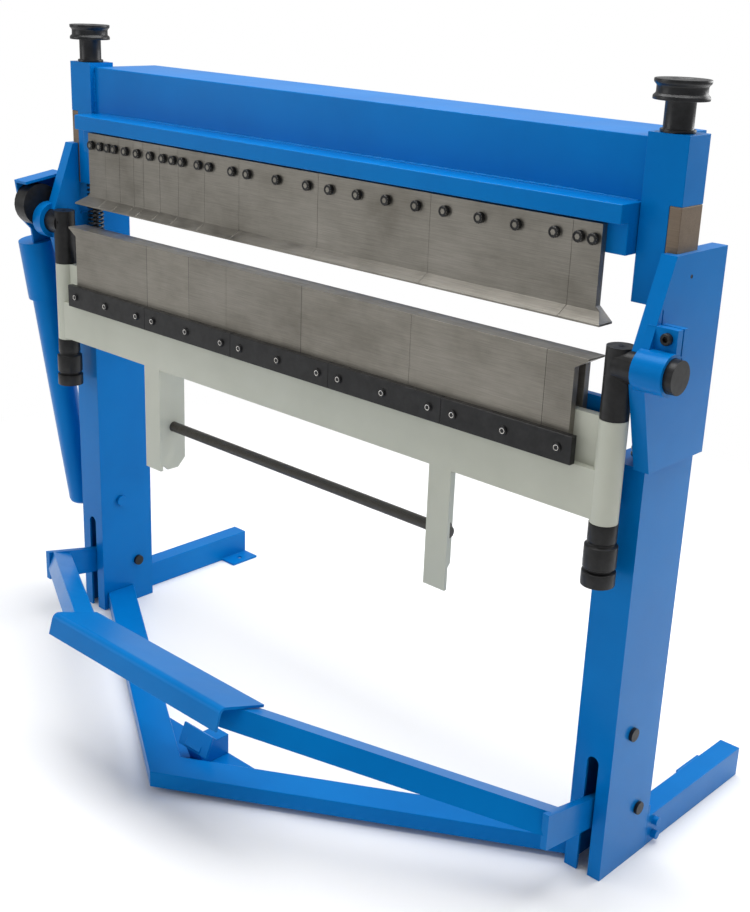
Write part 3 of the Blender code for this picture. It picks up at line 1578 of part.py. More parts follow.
def balancer_strap():
    """Sleeve over the tube with a bent strap that reaches round and over the crank."""
    bore = BALANCER_RADIUS + RUNNING
    roof = SLEEVE_TOP - STRAP_THICKNESS
    profile = [
        (0, SLEEVE_TOP),
        (SLEEVE_RADIUS, SLEEVE_TOP),
        (SLEEVE_RADIUS, SLEEVE_BOTTOM),
        (bore, SLEEVE_BOTTOM),
        (bore, roof),
        (0, roof),
    ]
    item = turned("balancer_strap", profile, (0, 0, 0), FINE_FACES, strap)
    axis_z = BALANCER_REACH
    under = axis_z + CRANK_UP + CRANK_RADIUS + STRAP_CLEARANCE
    top = under + STRAP_THICKNESS
    back = CRANK_RADIUS + STRAP_BACK_GAP
    outer_x = BALANCER_X - CRANK_OUTER - RUNNING
    inner_x = BALANCER_X - CRANK_INNER
    front = -STRAP_ARM_WIDTH * STRAP_FRONT_SHARE
    thick = STRAP_THICKNESS
    knee = axis_z - STRAP_ARM_WIDTH / 2
    toe = SLEEVE_TOP - thick / 2
    strip_outline = [
        (front, top),
        (back + thick, top),
        (back + thick, knee),
        (SLEEVE_RADIUS * STRAP_TOE_SHARE + thick, toe),
        (SLEEVE_RADIUS * STRAP_TOE_SHARE - thick, toe),
        (back, knee + thick),
        (back, under),
        (front, under),
    ]
    strip = plate("strap_strip", strip_outline, outer_x - thick, inner_x, "X", strap, cutters)
    cheek_outline = [
        (front, top),
        (back + thick, top),
        (back + thick, knee),
        (SLEEVE_RADIUS * STRAP_TOE_SHARE + thick, toe),
        (-SLEEVE_RADIUS * STRAP_TOE_SHARE, toe),
        (-SLEEVE_RADIUS * STRAP_TOE_SHARE, knee),
        (front, axis_z),
    ]
    cheek = plate("strap_cheek", cheek_outline, outer_x - thick, outer_x, "X", strap, cutters)
    bolt = rod(
        "strap_bolt",
        (outer_x - thick / 2, CRANK_ACROSS, axis_z + CRANK_UP),
        (outer_x - thick - STRAP_BOLT_HEIGHT, CRANK_ACROSS, axis_z + CRANK_UP),
        STRAP_BOLT_RADIUS,
        SCREW_FACES,
        strap,
        cutters,
    )
    fuse(item, strip, cheek, bolt)
    enamel(item)


clear_scene()
parts = new_collection("box_and_pan_folding_machine")
cutters = new_collection("cutters")
machine = carrier("machine_datum", (0, 0, 0))
machine.location = DATUM
clamp = carrier("clamp_slide", (0, ROD_Y, BOX_BOTTOM_Z), machine)
swing = carrier("bending_hinge", (0, HINGE_Y, HINGE_Z), machine)
apron = carrier("height_slide", (0, HINGE_Y, TUBE_BOTTOM_Z), swing)
pedal = carrier("pedal_hinge", (0, PEDAL_PIVOT_Y, PEDAL_PIVOT_Z), machine)
pedal_plane = carrier("pedal_plane", (0, TREAD_BEND_Y, TREAD_BEND_Z), pedal, (-PEDAL_SLOPE, 0, 0))
pedal_plane["place"] = (0.0, 0.0, 0.0)
balancer = carrier("balancer_hinge", (-BALANCER_X, ANCHOR_Y, ANCHOR_Z), machine, (BALANCER_LEAN, 0, 0))
balancer["place"] = (0.0, 0.0, 0.0)
strap = carrier("balancer_slide", (0, 0, 0), balancer)

for side, word in SIDES:
    column(side, word)
    rear_foot(side, word)
    if side > 0:
        side_plate(side, word, RIGHT_BOSS_RADIUS, RIGHT_BOSS_REACH)
    else:
        side_plate(side, word, LEFT_BOSS_RADIUS, LEFT_BOSS_REACH)
    blackened(cross_bolt(word + "_pedal_pivot", side, PEDAL_PIVOT_Y, PEDAL_PIVOT_Z, PIVOT_RADIUS))
    end_box(side, word)
    clamp_rod(side, word)
    hinge_post(side, word)
    adjusting_nut(side, word)
blackened(cross_bolt("right_guide_bolt", 1, ANCHOR_Y, ANCHOR_Z, ANCHOR_RADIUS))
anchor_pin()
stretcher()
pedal_stop()
bed()
clamp_beam()
upper_blades()
bending_beam()
crowning_rod()
clamp_bars()
bending_blades()
pedal_frame()
pedal_tread()
balancer_crank()
balancer_tube()
balancer_strap()
bpy.context.view_layer.update()
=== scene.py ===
import json
import math

import bmesh
import bpy
from mathutils import Matrix, Vector


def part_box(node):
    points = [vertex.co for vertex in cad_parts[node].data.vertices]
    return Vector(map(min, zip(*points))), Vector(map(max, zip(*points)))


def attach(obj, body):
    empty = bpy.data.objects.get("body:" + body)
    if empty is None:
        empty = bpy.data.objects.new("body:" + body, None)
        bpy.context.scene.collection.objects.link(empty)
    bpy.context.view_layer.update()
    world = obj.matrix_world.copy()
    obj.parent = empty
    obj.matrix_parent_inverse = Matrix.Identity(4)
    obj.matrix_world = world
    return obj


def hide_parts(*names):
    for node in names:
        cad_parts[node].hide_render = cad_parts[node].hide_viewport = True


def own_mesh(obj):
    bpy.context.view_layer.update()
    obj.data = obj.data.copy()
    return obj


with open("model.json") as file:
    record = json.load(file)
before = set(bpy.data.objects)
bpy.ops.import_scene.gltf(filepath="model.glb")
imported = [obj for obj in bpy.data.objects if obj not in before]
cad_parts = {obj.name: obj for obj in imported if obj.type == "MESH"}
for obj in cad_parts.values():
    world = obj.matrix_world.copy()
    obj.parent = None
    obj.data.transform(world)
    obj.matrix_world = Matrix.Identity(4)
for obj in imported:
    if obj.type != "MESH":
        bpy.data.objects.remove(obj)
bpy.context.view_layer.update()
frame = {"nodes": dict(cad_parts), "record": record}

NODES = frame["nodes"]
RECORD = frame["record"]
BODY_OF = {}
for body_name, members in RECORD["behaviour"]["bodies"].items():
    for member in members:
        BODY_OF[member] = body_name
SLOT_OF = {entry["node"]: entry["material_slot"] for entry in RECORD["subparts"]}
JOINT_OF = {joint["name"]: joint for joint in RECORD["behaviour"]["joints"]}

scene = bpy.context.scene
scene.view_settings.view_transform = "Standard"


def low_high(node):
    """Lowest and highest corner of a node's box."""
    low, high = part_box(node)
    return Vector(low), Vector(high)


COLUMNS_LOW_X = low_high("left_column")[0].x
COLUMNS_HIGH_X = low_high("right_column")[1].x
MIDDLE_X = (COLUMNS_LOW_X + COLUMNS_HIGH_X) / 2
WORKING_LENGTH = 1.220
HINGE = Vector(JOINT_OF["bending_hinge"]["pos_m"])
SIDES = ("left", "right")

# Materials


def opaque(colour):
    """Colour of three shares with full alpha."""
    return (colour[0], colour[1], colour[2], 1.0)


def scaled(colour, shares, lift=0.0):
    """Colour times one share for each channel, with no channel above 1."""
    return opaque([min(1, channel * share + lift) for channel, share in zip(colour, shares)])


class Nodes:
    """Small helper that builds one node material."""

    def __init__(self, name):
        self.material = bpy.data.materials.new(name)
        self.material.use_nodes = True
        self.tree = self.material.node_tree
        self.tree.nodes.clear()
        self.out = self.add("ShaderNodeOutputMaterial")
        self.shader = self.add("ShaderNodeBsdfPrincipled")
        self.link(self.shader.outputs["BSDF"], self.out.inputs["Surface"])
        self.place = self.add("ShaderNodeTexCoord").outputs["Object"]

    def add(self, kind, **values):
        node = self.tree.nodes.new(kind)
        for key, value in values.items():
            setattr(node, key, value)
        return node

    def link(self, a, b):
        self.tree.links.new(a, b)

    def put(self, socket, value):
        """Gives a socket a constant, or the output of another node."""
        if isinstance(value, (int, float, tuple)):
            socket.default_value = value
        else:
            self.link(value, socket)

    def along(self, axis):
        """Place along one axis of the object."""
        split = self.add("ShaderNodeSeparateXYZ")
        self.link(self.place, split.inputs["Vector"])
        return split.outputs[axis]

    def stretched(self, scale):
        node = self.add("ShaderNodeMapping")
        node.inputs["Scale"].default_value = scale
        self.link(self.place, node.inputs["Vector"])
        return node.outputs["Vector"]

    def noise(self, scale, detail=3.0, rough=0.5, vector=None):
        node = self.add("ShaderNodeTexNoise")
        node.inputs["Scale"].default_value = scale
        node.inputs["Detail"].default_value = detail
        node.inputs["Roughness"].default_value = rough
        self.link(vector if vector else self.place, node.inputs["Vector"])
        return node.outputs["Fac"]

    def ramp(self, factor, stops, mode="LINEAR"):
        """Colour ramp; a stop is (position, colour or grey level)."""
        node = self.add("ShaderNodeValToRGB")
        node.color_ramp.interpolation = mode
        elements = node.color_ramp.elements
        while len(elements) < len(stops):
            elements.new(0.5)
        for element, (position, colour) in zip(elements, stops):
            element.position = position
            if isinstance(colour, (int, float)):
                colour = opaque((colour, colour, colour))
            element.color = colour
        self.link(factor, node.inputs["Fac"])
        return node.outputs["Color"]

    def spread(self, factor, low, high, from_low=0.3, from_high=0.7):
        """Maps the middle of a noise, or the range given, to low and high."""
        node = self.add("ShaderNodeMapRange")
        node.inputs["From Min"].default_value = from_low
        node.inputs["From Max"].default_value = from_high
        node.inputs["To Min"].default_value = low
        node.inputs["To Max"].default_value = high
        self.link(factor, node.inputs["Value"])
        return node.outputs["Result"]

    def maths(self, operation, a, b=None):
        node = self.add("ShaderNodeMath", operation=operation)
        self.put(node.inputs[0], a)
        if b is not None:
            self.put(node.inputs[1], b)
        return node.outputs[0]

    def blend(self, kind, factor, a, b):
        node = self.add("ShaderNodeMix", data_type="RGBA", blend_type=kind)
        self.put(node.inputs[0], factor)
        self.put(node.inputs[6], a)
        self.put(node.inputs[7], b)
        return node.outputs[2]

    def bump(self, height, strength, distance):
        node = self.add("ShaderNodeBump")
        node.inputs["Strength"].default_value = strength
        node.inputs["Distance"].default_value = distance
        self.link(height, node.inputs["Height"])
        return node.outputs["Normal"]

    def set(self, **values):
        """Sets the shader's inputs by name and gives back the finished material."""
        for key, value in values.items():
            self.put(self.shader.inputs[key.replace("_", " ")], value)
        return self.material


def enamel(name, shades, tint, rough, coat):
    """Sprayed gloss paint on steel: fine orange peel, faint clouds and a few duller patches."""
    m = Nodes(name)
    clouds = m.noise(5.0, detail=4.0, rough=0.55)
    patches = m.noise(14.0, detail=5.0, rough=0.6)
    orange_peel = m.noise(300.0, detail=2.0)
    return m.set(
        Base_Color=m.ramp(clouds, list(zip((0.30, 0.52, 0.75), shades))),
        Roughness=m.spread(patches, rough - 0.02, rough + 0.04),
        Normal=m.bump(orange_peel, strength=0.05, distance=0.0005),
        Coat_Weight=coat,
        Coat_Roughness=0.16,
        Specular_IOR_Level=0.3,
        Specular_Tint=tint,
    )


JOINT_HALF_WIDTH = 0.00055
JOINT_COLOUR = (0.02, 0.018, 0.015, 1.0)
RAMP_LENGTH = 1.4
PIECE_TONES = (0.56, 0.47, 0.52, 0.45, 0.54, 0.49, 0.58, 0.46)


def divided(m, colour, divisions):
    """Gives each piece of a blade its own tone, with a dark line at each joint."""
    x = m.along("X")
    stops = [(0.0, 0.50)]
    for number, place in enumerate(divisions):
        stops.append((place / RAMP_LENGTH + 0.5, PIECE_TONES[number % len(PIECE_TONES)]))
    share = m.maths("ADD", m.maths("DIVIDE", x, RAMP_LENGTH), 0.5)
    colour = m.blend("OVERLAY", 0.7, colour, m.ramp(share, stops, "CONSTANT"))
    line = None
    for place in divisions:
        distance = m.maths("ABSOLUTE", m.maths("SUBTRACT", x, place))
        near = m.maths("LESS_THAN", distance, JOINT_HALF_WIDTH)
        line = near if line is None else m.maths("MAXIMUM", line, near)
    return m.blend("MIX", m.maths("MULTIPLY", line, 0.8), colour, JOINT_COLOUR)


def steel(name, tone, divisions=(), rough=0.34, metallic=0.9):
    """Ground steel with fine grinding lines, soft stains and the joints between a blade's pieces.

    Divisions are places along X, from the middle of the machine.
    """
    m = Nodes(name)
    deep = scaled(tone, (0.72, 0.71, 0.69))
    pale = scaled(tone, (1.22, 1.22, 1.24))
    stains = m.noise(1.0, detail=5.0, rough=0.6, vector=m.stretched((7, 3, 9)))
    grain = m.noise(1.0, rough=0.6, vector=m.stretched((18, 500, 900)))
    patches = m.noise(1.0, rough=0.6, vector=m.stretched((30, 60, 45)))
    colour = m.ramp(stains, [(0.28, deep), (0.5, opaque(tone)), (0.78, pale)])
    colour = m.blend("OVERLAY", 0.35, colour, m.ramp(grain, [(0.3, 0.30), (0.7, 0.70)]))
    if divisions:
        colour = divided(m, colour, [MIDDLE_X + place for place in divisions])
    return m.set(
        Base_Color=colour,
        Metallic=metallic,
        Roughness=m.spread(patches, rough - 0.06, rough + 0.1),
        Normal=m.bump(grain, strength=0.16, distance=0.0004),
        Specular_IOR_Level=0.5,
    )


def black(name, colour, rough, coat=0.0):
    """Blackened or black painted steel with rubbed, slightly lighter patches."""
    m = Nodes(name)
    rubbed = scaled(colour, (2.2, 2.2, 2.2), lift=0.004)
    wear = m.noise(60.0, detail=4.0, rough=0.6)
    patches = m.noise(90.0, detail=4.0, rough=0.6)
    return m.set(
        Base_Color=m.ramp(wear, [(0.35, opaque(colour)), (0.72, rubbed)]),
        Roughness=m.spread(patches, rough - 0.07, rough + 0.1),
        Normal=m.bump(m.noise(600.0, detail=2.0), strength=0.12, distance=0.0004),
        Coat_Weight=coat,
        Coat_Roughness=0.2,
        Specular_IOR_Level=0.3,
    )


THREAD_TONE = (0.030, 0.028, 0.024)
THREAD_ROUGHNESS = 0.40


def threaded(name, axis, pitch):
    """Dark screw thread: fine rings across the given axis."""
    m = Nodes(name)
    wave = m.maths("SINE", m.maths("MULTIPLY", m.along(axis), 2 * math.pi / pitch))
    crest = scaled(THREAD_TONE, (3.5, 3.4, 3.2))
    rings = m.spread(wave, 0, 1, from_low=-1, from_high=1)
    return m.set(
        Base_Color=m.ramp(rings, [(0.45, opaque(THREAD_TONE)), (0.95, crest)]),
        Roughness=m.spread(m.noise(120.0), THREAD_ROUGHNESS - 0.05, THREAD_ROUGHNESS + 0.1),
        Normal=m.bump(wave, strength=0.6, distance=0.0008),
        Metallic=0.3,
    )


BLUE_SHADES = ((0.0, 0.142, 0.450, 1.0), (0.0, 0.158, 0.490, 1.0), (0.0, 0.174, 0.525, 1.0))
GREY_SHADES = ((0.455, 0.470, 0.400, 1.0), (0.500, 0.515, 0.440, 1.0), (0.540, 0.555, 0.480, 1.0))
BED_DIVISIONS = (-0.590, -0.567, -0.517, -0.488, -0.444, -0.390, -0.342, 0.039)
BENDING_DIVISIONS = (-0.380, -0.255, 0.045, 0.560)

blue = enamel("blue_enamel_paint", BLUE_SHADES, tint=(0.05, 0.45, 1.0, 1.0), rough=0.30, coat=0.05)
grey = enamel("light_enamel_paint", GREY_SHADES, tint=(1.0, 1.0, 0.95, 1.0), rough=0.42, coat=0.06)
upper_steel = steel("upper_blade_steel", (0.225, 0.212, 0.185))
bed_steel = steel("bed_blade_steel", (0.300, 0.282, 0.250), BED_DIVISIONS, rough=0.36, metallic=0.6)
bend_steel = steel("bending_blade_steel", (0.225, 0.210, 0.180), BENDING_DIVISIONS, rough=0.36, metallic=0.6)
strip_steel = steel("guide_strip_steel", (0.20, 0.155, 0.115), rough=0.42, metallic=0.8)
bare = steel("bare_steel_edge", (0.62, 0.60, 0.57), rough=0.30)
dark = black("black_oxide", (0.0055, 0.0055, 0.0058), rough=0.36)
knob_black = black("knob_black", (0.0065, 0.0070, 0.0080), rough=0.32, coat=0.15)
wire_black = black("spring_black", (0.012, 0.012, 0.012), rough=0.24, coat=0.6)
rod_thread = threaded("crowning_rod_thread", "X", pitch=0.0025)
pull_thread = threaded("pull_rod_thread", "Z", pitch=0.0020)

LOOK = {
    "blue_enamel": blue,
    "light_enamel": grey,
    "ground_steel": upper_steel,
    "worn_steel": strip_steel,
    "blackened_steel": dark,
    "black_spring_wire": wire_black,
}


def look_of(node):
    """Material of a CAD node: its slot's, apart from a few nodes with their own."""
    if node.startswith("bed_blade"):
        return bed_steel
    if node.startswith("bending_blade"):
        return bend_steel
    if node == "crowning_rod":
        return rod_thread
    if node.endswith("pull_rod"):
        return pull_thread
    return LOOK[SLOT_OF[node]]


# Mesh helpers

EDGE_ANGLE = math.radians(32)
FLAT_ANGLE = math.radians(0.6)
CORNER_DISTANCE = 0.00002
LATHE_EDGE_ANGLE = math.radians(38)
SCREW_EDGE_ANGLE = math.radians(30)


def shade_smooth(mesh):
    for face in mesh.polygons:
        face.use_smooth = True


def finish_mesh(name, mesh, body, slot, *materials, smooth=True):
    """Puts a finished mesh in the scene as a piece that rides on a body."""
    item = bpy.data.objects.new(name, mesh)
    scene.collection.objects.link(item)
    for material in materials:
        mesh.materials.append(material)
    if smooth:
        shade_smooth(mesh)
    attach(item, body)
    return item


def mesh_of(name, build, move=None):
    """Turns a bmesh into a mesh with its normals outward, moved where one is given."""
    bmesh.ops.recalc_face_normals(build, faces=build.faces)
    if move is not None:
        build.transform(move)
    mesh = bpy.data.meshes.new(name)
    build.to_mesh(mesh)
    build.free()
    return mesh


def apply_modifiers(item):
    depsgraph = bpy.context.evaluated_depsgraph_get()
    mesh = bpy.data.meshes.new_from_object(item.evaluated_get(depsgraph))
    old = item.data
    item.modifiers.clear()
    item.data = mesh
    bpy.data.meshes.remove(old)


def clean_copy(node):
    """The CAD solid's mesh with its corners welded and its flat faces whole."""
    build = bmesh.new()
    build.from_mesh(NODES[node].data)
    bmesh.ops.remove_doubles(build, verts=build.verts, dist=CORNER_DISTANCE)
    bmesh.ops.dissolve_limit(build, angle_limit=FLAT_ANGLE, verts=build.verts, edges=build.edges)
    return mesh_of(node + "_dressed", build)


def dress(node, width, segments=2):
    """Same form as the CAD solid, with its sharp edges broken, in place of the node."""
    mesh = clean_copy(node)
    item = finish_mesh(node + "_dressed", mesh, BODY_OF[node], SLOT_OF[node], look_of(node), smooth=False)
    bevel = item.modifiers.new("edges", "BEVEL")
    bevel.width = width
    bevel.segments = segments
    bevel.limit_method = "ANGLE"
    bevel.angle_limit = EDGE_ANGLE
    bevel.use_clamp_overlap = True
    apply_modifiers(item)
    item.data.set_sharp_from_angle(angle=EDGE_ANGLE)
    shade_smooth(item.data)
    even = item.modifiers.new("even_shading", "WEIGHTED_NORMAL")
    even.keep_sharp = True
    even.weight = 100
    apply_modifiers(item)
    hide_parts(node)


def turned_to(place, axis):
    """Move that takes the origin to a place and +Z to an axis."""
    turn = Vector(axis).to_track_quat("Z", "Y").to_matrix().to_4x4()
    return Matrix.Translation(Vector(place)) @ turn


def circle(radius, height, count):
    """Points of a circle round Z."""
    points = []
    for i in range(count):
        angle = 2 * math.pi * i / count
        points.append(Vector((radius * math.cos(angle), radius * math.sin(angle), height)))
    return points


def hexagon(radius, height, count):
    """Points of a hexagon round Z, as many as its round neighbours have."""
    points = []
    for i in range(count):
        angle = 2 * math.pi * i / count
        from_flat = (angle % (math.pi / 3)) - math.pi / 6
        reach = radius * math.cos(math.pi / 6) / math.cos(from_flat)
        points.append(Vector((reach * math.cos(angle), reach * math.sin(angle), height)))
    return points


def corners_at(build, points):
    return [build.verts.new(point) for point in points]


def wall(build, low, high):
    """Faces between two rings of corners. A ring of one corner is a pole."""
    faces = []
    count = max(len(low), len(high))
    for i in range(count):
        j = (i + 1) % count
        corners = []
        for corner in (low[i % len(low)], low[j % len(low)], high[j % len(high)], high[i % len(high)]):
            if corner not in corners:
                corners.append(corner)
        if len(corners) > 2:
            faces.append(build.faces.new(corners))
    return faces


def lathe(name, profile, faces, place, axis, body, material):
    """Solid of revolution; profile is (radius, height) from the bottom's middle to the top's middle."""
    build = bmesh.new()
    rings = []
    for radius, height in profile:
        rings.append(corners_at(build, circle(radius, height, faces if radius > 0 else 1)))
    for low, high in zip(rings, rings[1:]):
        wall(build, low, high)
    mesh = mesh_of(name, build, turned_to(place, axis))
    item = finish_mesh(name, mesh, body, "blackened_steel", material)
    mesh.set_sharp_from_angle(angle=LATHE_EDGE_ANGLE)
    return item


def rounded(profile, size):
    """Breaks each corner of a lathe profile, apart from its poles, with a short two sided chamfer."""
    out = []
    for i, point in enumerate(profile):
        if i == 0 or i == len(profile) - 1 or point[0] <= 0:
            out.append(point)
            continue
        here = Vector(point)
        back = Vector(profile[i - 1]) - here
        ahead = Vector(profile[i + 1]) - here
        step = min(size, back.length * 0.4, ahead.length * 0.4)
        first = here + back.normalized() * step
        second = here + ahead.normalized() * step
        middle = here.lerp((first + second) / 2, 0.45)
        out.extend([tuple(first), tuple(middle), tuple(second)])
    return out


SCREW_FACES = 24
SCREW_RIM = 3


def socket_screw(name, place, axis, radius, height, body, rim=False):
    """Head of a cap screw with a hexagonal socket, and a bright ring round it where asked."""
    build = bmesh.new()
    chamfer = radius * 0.16
    socket = radius * 0.50
    depth = height * 0.75
    rings = [corners_at(build, points) for points in (
        circle(radius, 0, SCREW_FACES),
        circle(radius, height - chamfer, SCREW_FACES),
        circle(radius - chamfer, height, SCREW_FACES),
        circle(socket * 1.28, height, SCREW_FACES),
        hexagon(socket * 1.06, height - 0.0003, SCREW_FACES),
        hexagon(socket, height - 0.0008, SCREW_FACES),
        hexagon(socket, height - depth, SCREW_FACES),
    )]
    for level, (low, high) in enumerate(zip(rings, rings[1:])):
        for face in wall(build, low, high):
            face.material_index = 1 if rim and level == SCREW_RIM else 0
    build.faces.new(rings[-1])
    build.faces.new(list(reversed(rings[0])))
    mesh = mesh_of(name, build, turned_to(place, axis))
    finish_mesh(name, mesh, body, "blackened_steel", dark, bare, smooth=False)
    mesh.set_sharp_from_angle(angle=SCREW_EDGE_ANGLE)
    shade_smooth(mesh)


DIMPLE_FACES = 24


def dimple(name, place, axis, radius, body):
    """Round recess drawn as a thin black disc with a raised rim; the black is painted shade of the hollow.
    """
    profile = [(0, -0.0005), (radius, -0.0005), (radius, 0.0004), (radius * 0.8, 0.0001), (0, 0.0001)]
    lathe(name, profile, DIMPLE_FACES, place, axis, body, dark)


BEAD_STEP = 0.0016
BEAD_FACES = 8
RIPPLE = 0.0065


def bead(name, start, end, radius, seed=0.0):
    """Weld bead on the clamping beam between two points: a round run of overlapping ripples."""
    start = Vector(start)
    end = Vector(end)
    length = (end - start).length
    count = max(8, int(length / BEAD_STEP))
    turn = turned_to((0, 0, 0), end - start)
    build = bmesh.new()
    rings = []
    for step in range(count + 1):
        phase = 2 * math.pi * length * step / count / RIPPLE
        ripple = 1 + 0.13 * math.sin(phase + seed)
        ripple += 0.10 * math.sin(phase / 3.7 + 1.3 * seed + 0.7)
        ripple += 0.06 * math.sin(phase / 0.47 + 2.1 * seed)
        taper = min(1.0, 0.35 + 6 * min(step, count - step) / count)
        middle = start.lerp(end, step / count)
        points = circle(radius * ripple * taper, 0, BEAD_FACES)
        rings.append(corners_at(build, [middle + turn @ point for point in points]))
    for low, high in zip(rings, rings[1:]):
        wall(build, low, high)
    build.faces.new(rings[0])
    build.faces.new(rings[-1])
    finish_mesh(name, mesh_of(name, build), "clamp_beam_group", "blue_enamel", blue)


# Camera, where the photograph's front view was taken from

CAMERA_PLACE = Vector((MIDDLE_X + 1.657200, -1.645327, 1.390720))
CAMERA_HEADING = 132.371
CAMERA_PITCH = -19.851
CAMERA_ROLL = 2.251

camera_data = bpy.data.cameras.new("camera")
camera_data.sensor_fit = "AUTO"
camera_data.sensor_width = 36
camera_data.lens = 53.03
camera = bpy.data.objects.new("camera", camera_data)
scene.collection.objects.link(camera)
heading_turn = Matrix.Rotation(math.radians(CAMERA_HEADING - 90), 4, "Z")
pitch_turn = Matrix.Rotation(math.radians(90 + CAMERA_PITCH), 4, "X")
roll_turn = Matrix.Rotation(math.radians(CAMERA_ROLL), 4, "Z")
camera.matrix_world = Matrix.Translation(CAMERA_PLACE) @ heading_turn @ pitch_turn @ roll_turn
scene.camera = camera

# Dressed solids

USUAL_EDGE = 0.0012
BLADE_EDGE = 0.0003
BAR_EDGE = 0.0006
EDGE_OF = {
    "balancer_strap": 0.0010,
    "bed_clamp_strip": 0.0008,
    "bending_beam": 0.0016,
    "blade_holder": 0.0015,
    "clamp_beam": 0.0035,
    "crowning_rod": 0.0006,
    "front_stretcher": 0.0022,
    "left_column": 0.0030,
    "left_side_plate": 0.0018,
    "pedal_frame": 0.0018,
    "pedal_stop": 0.0008,
    "right_column": 0.0030,
    "right_side_plate": 0.0018,
}
for node in sorted(NODES):
    if node.endswith(("spring", "knob", "adjusting_nut")):
        continue
    if "_blade_" in node:
        dress(node, BLADE_EDGE, segments=1)
    elif node.startswith("clamp_bar"):
        dress(node, BAR_EDGE, segments=1)
    else:
        dress(node, EDGE_OF.get(node, USUAL_EDGE))

# Turned pieces and springs

KNOB_COLLAR = 0.0250
KNOB_NECK = 0.0213
KNOB_HEAD = 0.0393
KNOB_GROOVE = 0.0353
KNOB_DISH = 0.0175
KNOB_CHAMFER = 0.0012
KNOB_FACES = 72
NUT_DISH = 0.0140
NUT_FLANGE = 0.0262
NUT_GROOVE = 0.0205
NUT_BARREL = 0.0255
NUT_NECK = 0.0222
NUT_BORE = 0.0126
NUT_CHAMFER = 0.0010
NUT_FACES = 64
SPRING_CURLS = 27
SPRING_POINTS = 28
SPRING_WIRE = 0.0050
SPRING_UNEVENNESS = 0.012


def turned_piece(node, name, profile, faces, material):
    """Lathe piece in place of a node, standing on the bottom of its box."""
    low, high = low_high(node)
    foot = ((low.x + high.x) / 2, (low.y + high.y) / 2, low.z)
    item = lathe(name, profile, faces, foot, (0, 0, 1), BODY_OF[node], material)
    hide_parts(node)


def turned_knob(side):
    profile = rounded([
        (0, 0), (KNOB_COLLAR, 0), (KNOB_COLLAR, 0.0045), (KNOB_NECK, 0.0045), (KNOB_NECK, 0.0430),
        (KNOB_HEAD, 0.0430), (KNOB_HEAD, 0.0480), (KNOB_GROOVE, 0.0520), (KNOB_GROOVE, 0.0618),
        (KNOB_HEAD, 0.0660), (KNOB_HEAD, 0.0710), (KNOB_DISH, 0.0710), (0.0160, 0.0700), (0, 0.0700),
    ], KNOB_CHAMFER)
    turned_piece(side + "_knob", side + "_knob_turned", profile, KNOB_FACES, knob_black)


def turned_nut(side):
    """Adjusting nut with a dished foot; the steps are (radius, share of its height)."""
    low, high = low_high(side + "_adjusting_nut")
    tall = high.z - low.z
    steps = [
        (NUT_FLANGE, 0), (NUT_FLANGE, 0.22), (NUT_GROOVE, 0.24), (NUT_GROOVE, 0.27), (NUT_BARREL, 0.29),
        (NUT_BARREL, 0.64), (NUT_GROOVE, 0.66), (NUT_GROOVE, 0.69), (NUT_NECK, 0.71), (NUT_NECK, 1),
        (NUT_BORE, 1), (NUT_BORE, 0.5), (0, 0.5),
    ]
    profile = [(0, 0.004), (NUT_DISH, 0.004), (NUT_DISH, 0)]
    profile += [(radius, tall * share) for radius, share in steps]
    profile = rounded(profile, NUT_CHAMFER)
    turned_piece(side + "_adjusting_nut", side + "_nut_turned", profile, NUT_FACES, dark)


def wound_spring(side):
    """Coil of wire in place of a spring's node."""
    node = side + "_return_spring"
    low, high = low_high(node)
    cx = (low.x + high.x) / 2
    cy = (low.y + high.y) / 2
    tall = high.z - low.z
    radius = (high.x - low.x) / 2 - SPRING_WIRE / 2
    hand = 1 if side == "left" else -1
    curve = bpy.data.curves.new(node + "_wound", "CURVE")
    curve.dimensions = "3D"
    curve.bevel_depth = SPRING_WIRE / 2
    curve.bevel_resolution = 3
    curve.use_fill_caps = True
    line = curve.splines.new("POLY")
    last = SPRING_CURLS * SPRING_POINTS
    line.points.add(last)
    base = low.z + SPRING_WIRE * 0.75
    rise = tall - 1.5 * SPRING_WIRE
    for i in range(last + 1):
        share = i / last
        eased = share + SPRING_UNEVENNESS * math.sin(2 * math.pi * share)
        angle = hand * 2 * math.pi * i / SPRING_POINTS
        x = cx + radius * math.cos(angle)
        y = cy + radius * math.sin(angle)
        line.points[i].co = (x, y, base + rise * eased, 1)
    wound = bpy.data.objects.new(node + "_wound", curve)
    scene.collection.objects.link(wound)
    depsgraph = bpy.context.evaluated_depsgraph_get()
    mesh = bpy.data.meshes.new_from_object(wound.evaluated_get(depsgraph))
    bpy.data.objects.remove(wound)
    item = finish_mesh(node + "_coil", mesh, BODY_OF[node], "black_spring_wire", wire_black)
    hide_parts(node)
    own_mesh(item)


for side in SIDES:
    turned_knob(side)
    turned_nut(side)
    wound_spring(side)

# Screws of the clamp bars and of the upper blades

FORWARD = (0, -1, 0)
CLAMP_BARS = 5
BAR_SCREW_SPACING = 0.100
BAR_SCREW_DEPTH = 0.0030
BAR_SCREW_RADIUS = 0.0073
BAR_SCREW_HEIGHT = 0.0034
UPPER_WIDTHS = (0.055, 0.045, 0.045, 0.030, 0.050, 0.055, 0.075, 0.095, 0.200, 0.250, 0.270, 0.050)
UPPER_SCREWS = (2, 2, 1, 1, 1, 2, 2, 2, 3, 4, 4, 2)
UPPER_FACE_Y = -0.0405
UPPER_SCREW_Z = 1.045
UPPER_SCREW_MARGIN = 0.0085
UPPER_SCREW_SIDE_SHARE = 0.08
UPPER_SCREW_RADIUS = 0.0088
UPPER_SCREW_HEIGHT = 0.0076

